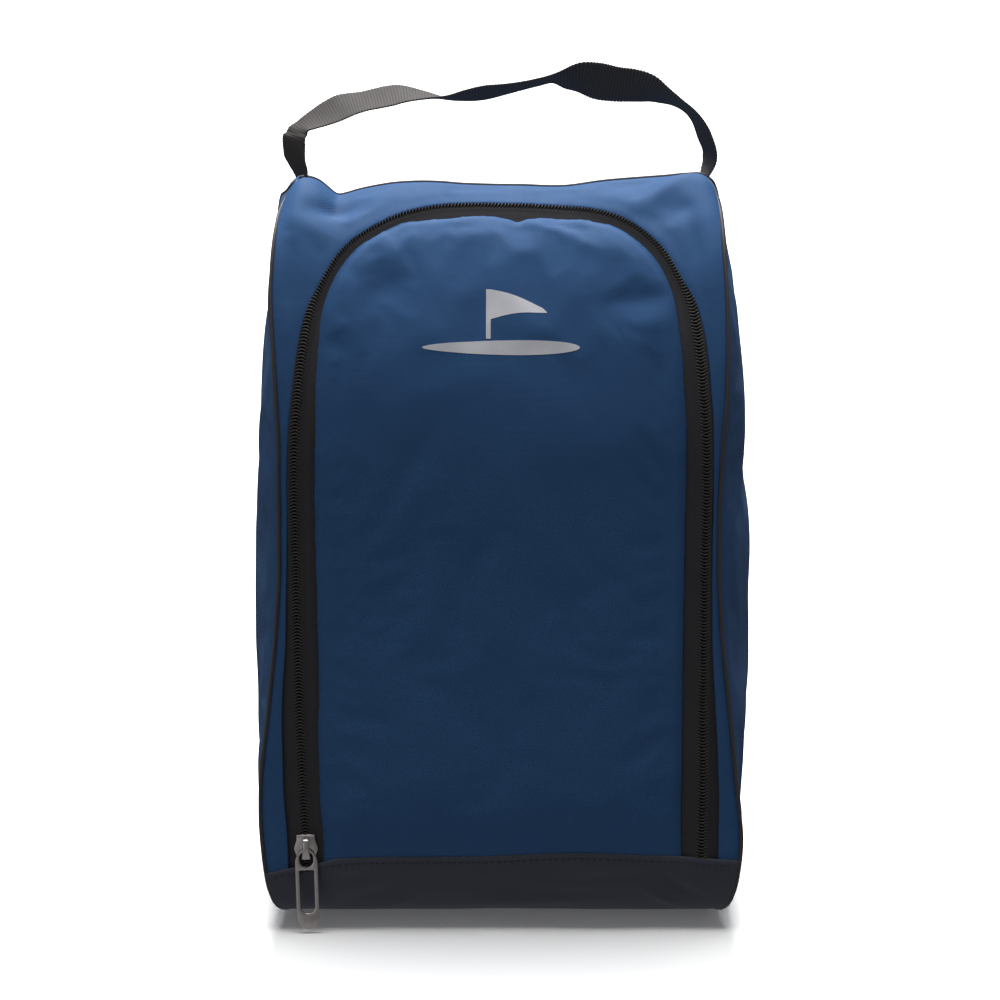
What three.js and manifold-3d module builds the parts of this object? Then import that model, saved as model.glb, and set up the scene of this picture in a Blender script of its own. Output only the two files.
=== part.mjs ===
// Golf shoe bag: an upright zipped bag with a padded U-shaped front door, two
// gusset side panels edged with piping, a dark wrap-round base and a short
// webbing handle.  Millimetres, +Z up, front towards -Y, origin at the centre
// of the base's flat rest face.
import * as THREE from 'three';
import { mergeVertices } from 'three/addons/utils/BufferGeometryUtils.js';
import Module from 'manifold-3d';

const wasm = await Module();
wasm.setup();

// ---------------------------------------------------------------- dimensions
const SEAM_Z = 35;            // height of the seam between base and blue panels
const KNEE_Z = 235;           // the front and back stand upright up to here
const APEX_Z = 356;           // top seam
const HALF_DEPTH = 75;        // outer face of the front and back panels
const CLOTH = 2.0;            // thickness of the lined panels
const SIDE_CLOTH = 1.6;       // thickness of the side panels
const EDGE_INSET = 1.7;       // front/back/base panels stop this far inside the piping line
const SIDE_INSET = 3.6;       // side panels stop this far inside the profile
const PIPING_R = 1.3;
const SIDE_BULGE = 11;        // how far the side panels belly out at mid height
const COIL_GAP = 0.55;        // half the gap between the two coil halves
const COIL_W = 2.35;          // width of one coil half
const COIL_TOP = 0.4;         // coil height above the cloth face
const COIL_LOW = -2.0;
const TAPE_TOP = -2.3;        // zip tape lies under the cloth
const TAPE_T = 0.7;
const TAPE_OUT = 5.2;         // outer tape reach from the zip's centre line
const TAPE_IN = 12.6;         // inner tape reach
const SURROUND_EDGE = 4.3;    // cloth edge outside the zip
const DOOR_EDGE = 9.8;        // door cloth edge inside the zip
const FOLD_S = 17.5;          // door fold line, measured up from the base seam
const FOLD_GAP = 0.6;
const ZIP_FOLD_S = 25.0;      // the chain and tape join the door this far up, clear of the pull
const SLIDER_S = 3.6;         // lower end of the slider, measured up from the base seam
const SLIDER_LEN = 11.2;
const SLIDER_HALF = 5.8;
const PULL_LEN = 40.3;
const PULL_HALF = 5.5;
const PULL_T = 1.1;
const STRAP_W = 25;
const STRAP_T = 1.8;
const HANDLE_AXIS_Z = 360;

// half width of the body at the piping, against the distance up the front
const WIDTH = [[-60, 100], [-45, 106], [-30, 109.5], [-14, 113], [0, 115], [15, 116.2], [30, 116],
  [45, 115], [62, 113], [86, 110.6], [112, 108.2], [130, 107], [155, 106.3], [175, 106.2],
  [207, 106.6], [225, 107.6], [255, 108.8], [275, 109.4], [310, 108.6], [330, 107.3],
  [342, 105.8], [350, 103.6], [356.1, 99.6], [420, 99.6]];

// the zip's centre line: x against distance up the front
const ZIP = [[-95.0, 0], [-97.6, 165], [-97.6, 190], [-97.2, 216], [-95.9, 240], [-93.8, 259.6],
  [-90.5, 275.5], [-85.4, 289.7], [-78.3, 302.5], [-69.5, 312.4], [-58.2, 320.9], [-46.3, 326.8],
  [-30.4, 331.5], [-14.5, 333.4], [0, 333.8], [15, 333.4], [30, 331.8], [45, 327.8],
  [58.1, 322.2], [70.2, 312.6], [79.0, 302], [85.7, 289], [90.4, 276], [93.4, 260.7],
  [95.3, 243.7], [96.5, 225], [97.0, 205], [97.0, 165], [96.0, 0]];

// base outline below the seam, from the front seam to the middle
const BASE = [[-75, 35], [-74.4, 27], [-72, 20], [-66, 11.5], [-55, 5.5], [-40, 1.9], [-22, 0], [0, 0]];

// handle centre line and twist (x, z, lean of the strap's width in degrees)
const HANDLE = [[-102.2, 364.2, 0, 4], [-104.5, 368.5, 0, 13], [-107, 376, -3, 25], [-104.5, 384, -8, 25],
  [-96, 389.5, -13, 25], [-84, 392, -16, 25], [-66, 395, -16, 25], [-46, 398, -6, 25],
  [-26, 400, 14, 25], [-5, 402, 21, 25], [12, 404, 18, 25], [26, 406.5, 16, 25], [38, 409, 32, 25],
  [52, 410.5, 44, 25], [66, 408.5, 44, 25], [80, 402, 36, 25], [92, 392, 22, 25],
  [100, 381, 8, 25], [103.6, 371.5, 0, 15], [102.4, 364.2, 0, 4]];

// --------------------------------------------------------------- surface map
const lerpTable = (tab, s) => {
  if (s <= tab[0][0]) return tab[0][1];
  for (let i = 1; i < tab.length; i++) {
    if (s <= tab[i][0]) {
      const [a, va] = tab[i - 1], [b, vb] = tab[i];
      let t = (s - a) / (b - a);
      return va + (vb - va) * t;
    }
  }
  return tab[tab.length - 1][1];
};
const halfWidth = (s) => lerpTable(WIDTH, s);

// arc-length table of the elliptical shoulder
const ARC = [];
{
  let len = 0, py = -HALF_DEPTH, pz = KNEE_Z;
  for (let i = 0; i <= 720; i++) {
    const th = (i / 720) * Math.PI / 2;
    const y = -HALF_DEPTH * Math.cos(th), z = KNEE_Z + (APEX_Z - KNEE_Z) * Math.sin(th);
    len += Math.hypot(y - py, z - pz);
    ARC.push([len, th]);
    py = y; pz = z;
  }
}
const S_KNEE = KNEE_Z - SEAM_Z;
const S_TOP = S_KNEE + ARC[ARC.length - 1][0];

// base outline as arc length below the seam
const baseCurve = new THREE.CatmullRomCurve3(BASE.map(([y, z]) => new THREE.Vector3(0, y, z)), false, 'centripetal');
baseCurve.arcLengthDivisions = 400;
const BASE_LEN = baseCurve.getLength();

// point and outward normal of the outer face, s measured up from the seam
function profile(s) {
  if (s < 0) {
    const u = Math.min(1, -s / BASE_LEN);
    const p = baseCurve.getPointAt(u), t = baseCurve.getTangentAt(u);
    return { y: p.y, z: Math.max(0, p.z), ny: -Math.abs(t.z), nz: -Math.abs(t.y) };
  }
  if (s <= S_KNEE) return { y: -HALF_DEPTH, z: SEAM_Z + s, ny: -1, nz: 0 };
  const th = lerpTable(ARC, Math.min(s, S_TOP) - S_KNEE);
  const ny = -(APEX_Z - KNEE_Z) * Math.cos(th), nz = HALF_DEPTH * Math.sin(th);
  const l = Math.hypot(ny, nz);
  return { y: -HALF_DEPTH * Math.cos(th), z: KNEE_Z + (APEX_Z - KNEE_Z) * Math.sin(th), ny: ny / l, nz: nz / l };
}
// (x, distance up the front, height off the cloth face) to space
const onFront = (x, s, n) => {
  const p = profile(s);
  return new THREE.Vector3(x, p.y + p.ny * n, p.z + p.nz * n);
};
const onBack = (x, s, n) => {
  const p = onFront(x, s, n);
  p.y = -p.y;
  return p;
};

// ------------------------------------------------------------ solid builders
function finish(positions, indices) {
  let vol = 0;
  const a = new THREE.Vector3(), b = new THREE.Vector3(), c = new THREE.Vector3();
  for (let i = 0; i < indices.length; i += 3) {
    a.fromArray(positions, indices[i] * 3);
    b.fromArray(positions, indices[i + 1] * 3);
    c.fromArray(positions, indices[i + 2] * 3);
    vol += a.dot(b.cross(c));
  }
  if (vol < 0) {
    for (let i = 0; i < indices.length; i += 3) {
      const t = indices[i + 1]; indices[i + 1] = indices[i + 2]; indices[i + 2] = t;
    }
  }
  const g = new THREE.BufferGeometry();
  g.setAttribute('position', new THREE.Float32BufferAttribute(positions, 3));
  g.setIndex(indices);
  g.computeVertexNormals();
  return g;
}
// a sheet with thickness: face(i, j, k) gives the outer (k = 0) and inner (k = 1) point
function sheet(rows, cols, face) {
  const pos = [], idx = [];
  for (let k = 0; k < 2; k++) for (let i = 0; i < rows; i++) for (let j = 0; j < cols; j++) pos.push(...face(i, j, k).toArray());
  const at = (i, j, k) => k * rows * cols + i * cols + j;
  const quad = (a, b, c, d) => idx.push(a, b, c, a, c, d);
  for (let i = 0; i < rows - 1; i++) {
    for (let j = 0; j < cols - 1; j++) {
      quad(at(i, j, 0), at(i + 1, j, 0), at(i + 1, j + 1, 0), at(i, j + 1, 0));
      quad(at(i, j, 1), at(i, j + 1, 1), at(i + 1, j + 1, 1), at(i + 1, j, 1));
    }
  }
  for (let i = 0; i < rows - 1; i++) {
    quad(at(i, 0, 0), at(i, 0, 1), at(i + 1, 0, 1), at(i + 1, 0, 0));
    quad(at(i, cols - 1, 0), at(i + 1, cols - 1, 0), at(i + 1, cols - 1, 1), at(i, cols - 1, 1));
  }
  for (let j = 0; j < cols - 1; j++) {
    quad(at(0, j, 0), at(0, j + 1, 0), at(0, j + 1, 1), at(0, j, 1));
    quad(at(rows - 1, j, 0), at(rows - 1, j, 1), at(rows - 1, j + 1, 1), at(rows - 1, j + 1, 0));
  }
  return finish(pos, idx);
}
// a convex section carried along stations; ring(i) gives the section's points
function sweep(n, ring, closed = false) {
  const pos = [], idx = [];
  let m = 0;
  for (let i = 0; i < n; i++) {
    const pts = ring(i);
    m = pts.length;
    for (const p of pts) pos.push(...p.toArray());
  }
  const last = closed ? n : n - 1;
  for (let i = 0; i < last; i++) {
    const i2 = (i + 1) % n;
    for (let j = 0; j < m; j++) {
      const j2 = (j + 1) % m;
      idx.push(i * m + j, i2 * m + j, i2 * m + j2, i * m + j, i2 * m + j2, i * m + j2);
    }
  }
  if (!closed) {
    for (let j = 1; j < m - 1; j++) {
      idx.push(0, j, j + 1);
      idx.push((n - 1) * m, (n - 1) * m + j + 1, (n - 1) * m + j);
    }
  }
  return finish(pos, idx);
}
function toManifold(geometry) {
  const g = geometry.clone();
  g.deleteAttribute('normal');
  if (g.attributes.uv) g.deleteAttribute('uv');
  const w = mergeVertices(g, 1e-4);
  return new wasm.Manifold(new wasm.Mesh({
    numProp: 3,
    vertProperties: new Float32Array(w.attributes.position.array),
    triVerts: new Uint32Array(w.index.array),
  }));
}
function fromManifold(solid) {
  const m = solid.getMesh();
  const g = new THREE.BufferGeometry();
  g.setAttribute('position', new THREE.Float32BufferAttribute(Array.from(m.vertProperties), 3));
  g.setIndex(Array.from(m.triVerts));
  g.computeVertexNormals();
  return g;
}
// outline in (x, z), extruded along -Y from height n0 to n1 off the cloth face
function plate(points, n0, n1) {
  const shape = new THREE.Shape(points.map(([x, z]) => new THREE.Vector2(x, z)));
  const g = new THREE.ExtrudeGeometry(shape, { depth: n1 - n0, bevelEnabled: false });
  g.rotateX(Math.PI / 2);          // depth now runs towards -Y
  g.translate(0, -n0, 0);
  return g;
}

// ------------------------------------------------------------------ zip path
// evenly spaced samples of the zip's centre line in (x, s), with normals
// pointing away from the door
const corner = ZIP.slice(1, ZIP.length - 1).map(([x, s]) => new THREE.Vector3(x, s, 0));
const cornerCurve = new THREE.CatmullRomCurve3(corner, false, 'centripetal');
const zipPts = [];
{
  const legs = 5;
  for (let i = 0; i < legs; i++) {
    const t = i / legs;
    zipPts.push([ZIP[0][0] + (ZIP[1][0] - ZIP[0][0]) * t, ZIP[0][1] + (ZIP[1][1] - ZIP[0][1]) * t]);
  }
  const n = 30;
  for (let i = 0; i <= n; i++) {
    const p = cornerCurve.getPointAt(i / n);
    zipPts.push([p.x, p.y]);
  }
  const a = ZIP[ZIP.length - 2], b = ZIP[ZIP.length - 1];
  for (let i = 1; i <= legs; i++) {
    const t = i / legs;
    zipPts.push([a[0] + (b[0] - a[0]) * t, a[1] + (b[1] - a[1]) * t]);
  }
}
const zipNrm = zipPts.map((p, i) => {
  const a = zipPts[Math.max(0, i - 1)], b = zipPts[Math.min(zipPts.length - 1, i + 1)];
  const tx = b[0] - a[0], ts = b[1] - a[1], l = Math.hypot(tx, ts);
  return [-ts / l, tx / l];
});
// a point d away from the zip line (positive = outside the door)
const zipAt = (i, d) => [zipPts[i][0] + zipNrm[i][0] * d, zipPts[i][1] + zipNrm[i][1] * d];

// part of the zip line cut at a given height s, ends exactly on it
function zipRange(sLow) {
  const f = [];
  const n = zipPts.length;
  for (let i = 0; i < n - 1; i++) {
    const a = zipPts[i][1], b = zipPts[i + 1][1];
    if (i === 0 && a >= sLow) f.push(0);
    if ((a < sLow && b >= sLow) || (a >= sLow && b < sLow)) f.push(i + (sLow - a) / (b - a));
    if (b >= sLow) f.push(i + 1);
  }
  return [...new Set(f)].sort((p, q) => p - q);
}
// samples between two heights of one leg
function legRange(left, s0, s1) {
  const n = zipPts.length, at = (s) => {
    const seq = left ? [...Array(12).keys()] : [...Array(12).keys()].map((k) => n - 2 - k);
    for (const i of seq) {
      const a = zipPts[i][1], b = zipPts[i + 1][1];
      if ((s - a) * (s - b) <= 0 && a !== b) return i + (s - a) / (b - a);
    }
    return left ? 0 : n - 1;
  };
  return [at(s0), at((s0 + s1) / 2), at(s1)];
}
const zipF = (f, d) => {
  const i = Math.min(zipPts.length - 2, Math.floor(f)), t = f - i;
  const a = zipAt(i, d), b = zipAt(i + 1, d);
  return [a[0] + (b[0] - a[0]) * t, a[1] + (b[1] - a[1]) * t];
};
function zipBand(list, d0, d1, nTop, nLow, cols = 2) {
  return sheet(list.length, cols, (i, j, k) => {
    const [x, s] = zipF(list[i], d0 + (d1 - d0) * j / (cols - 1));
    return onFront(x, Math.min(s, S_TOP - 1.2), k ? nLow : nTop);
  });
}
// half of the coil: a rounded six-sided section
function coil(list, side) {
  const sec = [[COIL_GAP, COIL_LOW + 0.5], [COIL_GAP + COIL_W / 2, COIL_LOW], [COIL_GAP + COIL_W, -0.9],
    [COIL_GAP + COIL_W - 0.5, COIL_TOP], [COIL_GAP + 0.5, COIL_TOP]];
  return sweep(list.length, (i) => sec.map(([d, n]) => {
    const [x, s] = zipF(list[i], side * d);
    return onFront(x, s, n);
  }));
}

// ----------------------------------------------------------------- materials
const cloth = (color) => new THREE.MeshStandardMaterial({ color, roughness: 0.9, metalness: 0 });
const BLUE = cloth(0x24507f), BLUE_SIDE = cloth(0x1f4672), DARK = cloth(0x2b2d38), BLACK = cloth(0x1b1b1d);
const WEB = cloth(0x2a2a2c), PRINT = new THREE.MeshStandardMaterial({ color: 0xd8d8dc, roughness: 0.45, metalness: 0.2 });
const METAL = new THREE.MeshStandardMaterial({ color: 0x8f8a89, roughness: 0.35, metalness: 1 });
const COIL_M = new THREE.MeshStandardMaterial({ color: 0x3a3a3c, roughness: 0.5, metalness: 0 });
const BOARD = new THREE.MeshStandardMaterial({ color: 0x3a3a3a, roughness: 0.8, metalness: 0 });

const bag = new THREE.Group();
function add(parent, name, geometry, material) {
  const m = new THREE.Mesh(geometry, material.clone());
  m.name = name;
  parent.add(m);
  return m;
}

// ------------------------------------------------------------- front surround
// the blue cloth between the zip and the piping, from the base seam up one
// side, over the shoulder and down the other
{
  const centre = [0, 236];
  const inside = (x, s) => Math.abs(x) < halfWidth(s) - EDGE_INSET && s < S_TOP - 1.2;
  const rim = (x, s) => {
    let dx, ds, cx, cs;
    if (s <= centre[1]) { dx = Math.sign(x); ds = 0; cx = x; cs = s; }
    else { dx = x - centre[0]; ds = s - centre[1]; const l = Math.hypot(dx, ds); dx /= l; ds /= l; cx = x; cs = s; }
    let lo = 0, hi = 160;
    for (let k = 0; k < 50; k++) {
      const m = (lo + hi) / 2;
      if (inside(cx + dx * m, cs + ds * m)) lo = m; else hi = m;
    }
    return [cx + dx * lo, cs + ds * lo];
  };
  const cols = 4, list = zipRange(0.35);
  const g = sheet(list.length, cols, (i, j, k) => {
    const [x0, s0] = zipF(list[i], SURROUND_EDGE);
    const [x1, s1] = rim(x0, s0);
    const t = j / (cols - 1);
    return onFront(x0 + (x1 - x0) * t, s0 + (s1 - s0) * t, k ? -CLOTH : 0);
  });
  add(bag, 'front_surround', g, BLUE);
}

// ---------------------------------------------------------------- door panel
const doorEdge = [];
for (let i = 0; i < zipPts.length; i++) doorEdge.push(zipAt(i, -DOOR_EDGE));
function doorHalf(s, side) {
  // x of the door's cloth edge at height s on one side (-1 left, +1 right)
  let best = 0;
  for (let i = 0; i < doorEdge.length - 1; i++) {
    const [xa, sa] = doorEdge[i], [xb, sb] = doorEdge[i + 1];
    if ((s - sa) * (s - sb) <= 0 && sa !== sb) {
      const x = xa + (xb - xa) * (s - sa) / (sb - sa);
      if (x * side > best * side) best = x;
    }
  }
  return best;
}
const DOOR_TOP = Math.max(...doorEdge.map((p) => p[1]));
function doorSheet(s0, s1, rows, cols, n0, n1, ease) {
  return sheet(rows, cols, (i, j, k) => {
    let t = i / (rows - 1);
    if (ease) t = Math.sin(t * Math.PI / 2);
    const s = s0 + (s1 - s0) * t;
    const xl = doorHalf(s, -1), xr = doorHalf(s, 1);
    const f = j / (cols - 1);
    return onFront(xl + (xr - xl) * f, s, k ? n1 : n0);
  });
}
const door = new THREE.Group();
add(door, 'door_panel', doorSheet(FOLD_S + FOLD_GAP / 2, DOOR_TOP - 0.35, 26, 7, 0, -CLOTH, true), BLUE);
add(bag, 'door_hinge_strip', doorSheet(0.35, FOLD_S - FOLD_GAP / 2, 2, 7, 0, -CLOTH, false), BLUE);

// silver transfer print: a plain pennant over an oval green
{
  const n0 = 0.3, n1 = 0.6, base = 256, cols = 5;
  // one closed band in (x, s): the oval carries the pole and the pennant
  const g = sheet(12, cols, (i, j, k) => {
    const s = base + i * 2.5;
    let lo, hi;
    if (i <= 3) { const w = 30 * Math.sqrt(Math.max(0.02, 1 - ((i - 1.5) / 1.75) ** 2)); lo = -w; hi = w; }
    else if (i < 6) { lo = -1.2; hi = 1.2; }
    else { lo = -1.2; hi = i === 6 ? 6 : 1.2 + 22 * (1 - Math.abs(i - 8.5) / 2.7) * 1.0 + 2; }
    const f = j / (cols - 1);
    return onFront(lo + (hi - lo) * f, s, k ? n0 : n1);
  });
  add(door, 'front_print', g, PRINT);
}

// -------------------------------------------------------------------- zip
const full = zipRange(0.35);
const upper = zipRange(ZIP_FOLD_S + FOLD_GAP / 2);
add(bag, 'zip_tape_outer', zipBand(full, 0.6, TAPE_OUT, TAPE_TOP, TAPE_TOP - TAPE_T), BLACK);
add(bag, 'zip_coil_outer', coil(full, 1), COIL_M);
add(door, 'zip_tape_inner', zipBand(upper, -0.6, -TAPE_IN, TAPE_TOP, TAPE_TOP - TAPE_T), BLACK);
add(door, 'zip_coil_inner', coil(upper, -1), COIL_M);
for (const left of [true, false]) {
  const tag = left ? 'left' : 'right';
  const r = legRange(left, 0.35, ZIP_FOLD_S - FOLD_GAP / 2);
  add(bag, `zip_tape_foot_${tag}`, zipBand(r, -0.6, -TAPE_IN, TAPE_TOP, TAPE_TOP - TAPE_T), BLACK);
  add(bag, `zip_coil_foot_${tag}`, coil(r, -1), COIL_M);
}
bag.add(door);

// ---------------------------------------------------------------- back panel
{
  const rows = 20, cols = 5;
  const sAt = (i) => 0.35 + (S_TOP - 1.2 - 0.35) * (i < 6 ? (i / 6) * 0.56 : 0.56 + 0.44 * (i - 6) / (rows - 1 - 6));
  add(bag, 'back_panel', sheet(rows, cols, (i, j, k) => {
    const s = sAt(i), w = halfWidth(s) - EDGE_INSET;
    return onBack(-w + 2 * w * j / (cols - 1), s, k ? -CLOTH : 0);
  }), BLUE);
}
// tape that holds the top seam together from inside
add(bag, 'top_seam_tape', sheet(2, 5, (i, j, k) => new THREE.Vector3(-92 + 184 * i, -8 + 4 * j,
  (k ? APEX_Z - 4.0 : APEX_Z - 3.0) - ((-8 + 4 * j) / HALF_DEPTH) ** 2 * 62)), BLACK);

// --------------------------------------------------------------- side panels
// front edge of the gusset: the profile moved inwards
function gussetY(z) {
  const zz = z;
  let y;
  if (zz >= KNEE_Z) {
    const b = APEX_Z - SIDE_INSET - KNEE_Z, a = HALF_DEPTH - SIDE_INSET;
    y = a * Math.sqrt(Math.max(0, 1 - ((zz - KNEE_Z) / b) ** 2));
  } else if (zz >= SEAM_Z) y = HALF_DEPTH - SIDE_INSET;
  else {
    // base outline, inset
    let best = 0;
    for (let u = 0; u <= 1; u += 0.004) {
      const p = baseCurve.getPointAt(u);
      if (p.z <= zz - 1.6) { best = -p.y - SIDE_INSET; break; }
      best = 0;
    }
    y = best;
  }
  return y;
}
const sOfZ = (z) => {
  if (z >= KNEE_Z) {
    const th = Math.asin(Math.min(1, (z - KNEE_Z) / (APEX_Z - KNEE_Z)));
    let lo = 0, hi = ARC.length - 1;
    while (hi - lo > 1) { const m = (lo + hi) >> 1; if (ARC[m][1] < th) lo = m; else hi = m; }
    return S_KNEE + ARC[lo][0];
  }
  if (z >= SEAM_Z) return z - SEAM_Z;
  return -(SEAM_Z - z) * 1.15;
};
const GUSSET_Z = [3.2, 4.6, 7, 10, 14, 20, 27, 35, 50, 75, 105, 140, 175, 210, 235, 255, 275, 292, 307, 320, 331, 339, 345, 349.4, 351.6];
const bulgeAt = (z) => SIDE_BULGE * Math.pow(Math.max(0, Math.sin(Math.PI * Math.min(1, Math.max(0, (z - 8) / 352)))), 0.7);
function gusset(side) {
  const cols = 7;
  return sheet(GUSSET_Z.length, cols, (i, j, k) => {
    const z = GUSSET_Z[i], yf = gussetY(z), f = -1 + 2 * j / (cols - 1);
    const w = halfWidth(sOfZ(z)) - 2.3 - (z > 345 ? (z - 345) * 0.25 : 0);
    const x = w + bulgeAt(z) * (1 - f * f) * Math.min(1, yf / 60) - (k ? SIDE_CLOTH : 0);
    return new THREE.Vector3(side * x, f * yf, z);
  });
}
add(bag, 'side_panel_left', gusset(-1), BLUE_SIDE);
add(bag, 'side_panel_right', gusset(1), BLUE_SIDE);

// ------------------------------------------------------------------- piping
// a cord in a folded strip, sewn all round each side panel
function piping(side) {
  const st = [];
  const up = [];
  for (let s = -BASE_LEN + 0.01; s < 0; s += BASE_LEN / 8) up.push(s);
  for (let s = 0; s < S_KNEE; s += 25) up.push(s);
  for (let i = 0; i <= 14; i++) up.push(S_KNEE + (S_TOP - S_KNEE) * i / 14);
  const lift = (p) => Math.max(p.z, PIPING_R + 0.4);
  for (const s of up) {
    const p = profile(s), n = -0.9;
    const w = halfWidth(s < 0 ? -(SEAM_Z - p.z) * 1.15 : s);
    st.push({ x: side * w, y: p.y + p.ny * n, z: lift({ z: p.z + p.nz * n }), ny: p.ny, nz: p.nz });
  }
  const back = st.slice(1, st.length - 1).reverse().map((q) => ({ ...q, y: -q.y, ny: -q.ny }));
  const loop = st.concat(back);
  const m = 6;
  return sweep(loop.length, (i) => {
    const q = loop[i];
    return [...Array(m).keys()].map((j) => {
      const a = (j + 0.5) / m * Math.PI * 2, c = Math.cos(a) * PIPING_R, d = Math.sin(a) * PIPING_R;
      return new THREE.Vector3(q.x + c, q.y + q.ny * d, q.z + q.nz * d);
    });
  }, true);
}
add(bag, 'piping_left', piping(-1), BLACK);
add(bag, 'piping_right', piping(1), BLACK);

// bound seam allowances inside the two gusset seams
function binding(side) {
  const st = [];
  for (let s = 4; s < S_KNEE; s += 28) st.push(s);
  for (let i = 0; i <= 12; i++) st.push(S_KNEE + (S_TOP - S_KNEE - 16) * i / 12);
  return sweep(st.length, (i) => {
    const s = st[i], w = halfWidth(s);
    return [[-5.2, 5.0], [-5.2, 6.6], [-12, 6.6], [-12, 5.0]].map(([n, d]) => onFront(side * (w - d), s, n));
  });
}
add(bag, 'seam_binding_left', binding(-1), BLACK);
add(bag, 'seam_binding_right', binding(1), BLACK);

// --------------------------------------------------------------------- base
{
  const rows = 25, cols = 5, total = 2 * BASE_LEN;
  add(bag, 'base_panel', sheet(rows, cols, (i, j, k) => {
    const u = 0.35 + (total - 0.7) * i / (rows - 1);
    const front = u <= BASE_LEN;
    const s = front ? -u : -(total - u);
    const p = profile(s);
    const w = halfWidth(-(SEAM_Z - p.z) * 1.15) - EDGE_INSET;
    const x = -w + 2 * w * j / (cols - 1);
    const q = front ? onFront(x, s, k ? -CLOTH : 0) : onBack(x, s, k ? -CLOTH : 0);
    if (k && Math.abs(p.z) < 1e-6) q.z = CLOTH;
    return q;
  }), DARK);
}
// stiffening board that lies on the base
{
  const shape = new THREE.Shape();
  const hx = 92, hy = 34, r = 12;
  shape.moveTo(-hx + r, -hy);
  shape.lineTo(hx - r, -hy); shape.quadraticCurveTo(hx, -hy, hx, -hy + r);
  shape.lineTo(hx, hy - r); shape.quadraticCurveTo(hx, hy, hx - r, hy);
  shape.lineTo(-hx + r, hy); shape.quadraticCurveTo(-hx, hy, -hx, hy - r);
  shape.lineTo(-hx, -hy + r); shape.quadraticCurveTo(-hx, -hy, -hx + r, -hy);
  const g = new THREE.ExtrudeGeometry(shape, { depth: 1.6, bevelEnabled: false, curveSegments: 4 });
  g.translate(0, 0, 4.4);
  add(bag, 'base_board', g, BOARD);
}

// ------------------------------------------------------------------- slider
// local frame: x across the chain, z along it, standing at the leg's foot
const legTilt = Math.atan2(-(ZIP[1][0] - ZIP[0][0]), ZIP[1][1] - ZIP[0][1]);
const slider = new THREE.Group();
slider.position.set(ZIP[0][0] + (ZIP[1][0] - ZIP[0][0]) * SLIDER_S / ZIP[1][1], -HALF_DEPTH, SEAM_Z + SLIDER_S);
slider.rotation.set(0, -legTilt, 0);
bag.add(slider);
{
  const L = SLIDER_LEN, H = SLIDER_HALF;
  const outline = [[-4.6, 0], [4.6, 0], [H, 4.2], [4.5, 8.2], [4.5, L], [-4.5, L], [-4.5, 8.2], [-H, 4.2]];
  const top = toManifold(plate(outline, 0.7, 1.7));
  const low = toManifold(plate([[-3.9, 0], [3.9, 0], [3.9, L], [-3.9, L]], -4.3, -3.3));
  const web = toManifold(plate([[-0.3, 2], [0.3, 2], [0.3, 7.5], [-0.3, 7.5]], -3.8, 1.2));
  const fl = toManifold(plate([[-4.0, 0.2], [-3.25, 0.2], [-3.25, L - 0.2], [-4.0, L - 0.2]], -1.9, 1.2));
  const fr = toManifold(plate([[3.25, 0.2], [4.0, 0.2], [4.0, L - 0.2], [3.25, L - 0.2]], -1.9, 1.2));
  add(slider, 'slider_body', fromManifold(top.add(low).add(web).add(fl).add(fr)), METAL);
  // the bridge that holds the pull
  const c = 2.1;
  const bridge = toManifold(plate([[-c, -1.2], [c, -1.2], [c, 10], [-c, 10]], 4.1, 5.0));
  const post = toManifold(plate([[-c, 6.6], [c, 6.6], [c, 10], [-c, 10]], 2.0, 4.6));
  const lip = toManifold(plate([[-c, -1.2], [c, -1.2], [c, 0.3], [-c, 0.3]], 2.0, 4.6));
  add(slider, 'slider_crown', fromManifold(bridge.add(post).add(lip)), METAL);
}

// --------------------------------------------------------------------- pull
// long flat pull with a ring for the slider and a slot for the finger
{
  const zTop = 4.0;                       // top edge of the ring, slider frame
  const bar = 1.8, zi = zTop - bar;       // flat top of the ring hole
  const H = PULL_HALF, L = PULL_LEN;
  const out = [];
  const arcTo = (cx, cz, r, a0, a1, n) => { for (let i = 0; i <= n; i++) { const a = (a0 + (a1 - a0) * i / n) * Math.PI / 180; out.push([cx + r * Math.cos(a), cz + r * Math.sin(a)]); } };
  const zb = zTop - L + H;
  out.push([-H, zTop - 6], [-4.2, zTop - 1.2], [-2.8, zTop], [2.8, zTop], [4.2, zTop - 1.2], [H, zTop - 6]);
  arcTo(0, zb, H, 0, -180, 10);
  const ring = [[-3.3, zi], [3.3, zi], [3.3, zi - 3.6]];
  for (let i = 1; i < 7; i++) { const a = -i / 7 * Math.PI; ring.push([3.3 * Math.cos(a), zi - 3.6 + 3.3 * Math.sin(a)]); }
  ring.push([-3.3, zi - 3.6]);
  const st = zi - 3.6 - 3.3 - 1.6;
  const sb = zTop - L + 8.0 + 3.55;
  const slot = [[-3.55, st], [3.55, st], [3.55, sb]];
  for (let i = 1; i < 7; i++) { const a = -i / 7 * Math.PI; slot.push([3.55 * Math.cos(a), sb + 3.55 * Math.sin(a)]); }
  slot.push([-3.55, sb]);
  const body = toManifold(plate(out, 2.35, 2.35 + PULL_T));
  const holes = [ring, slot].map((h) => toManifold(plate(h, 1.8, 2.9 + PULL_T)));
  add(slider, 'pull_tab', fromManifold(body.subtract(holes[0]).subtract(holes[1])), METAL);
}

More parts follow.
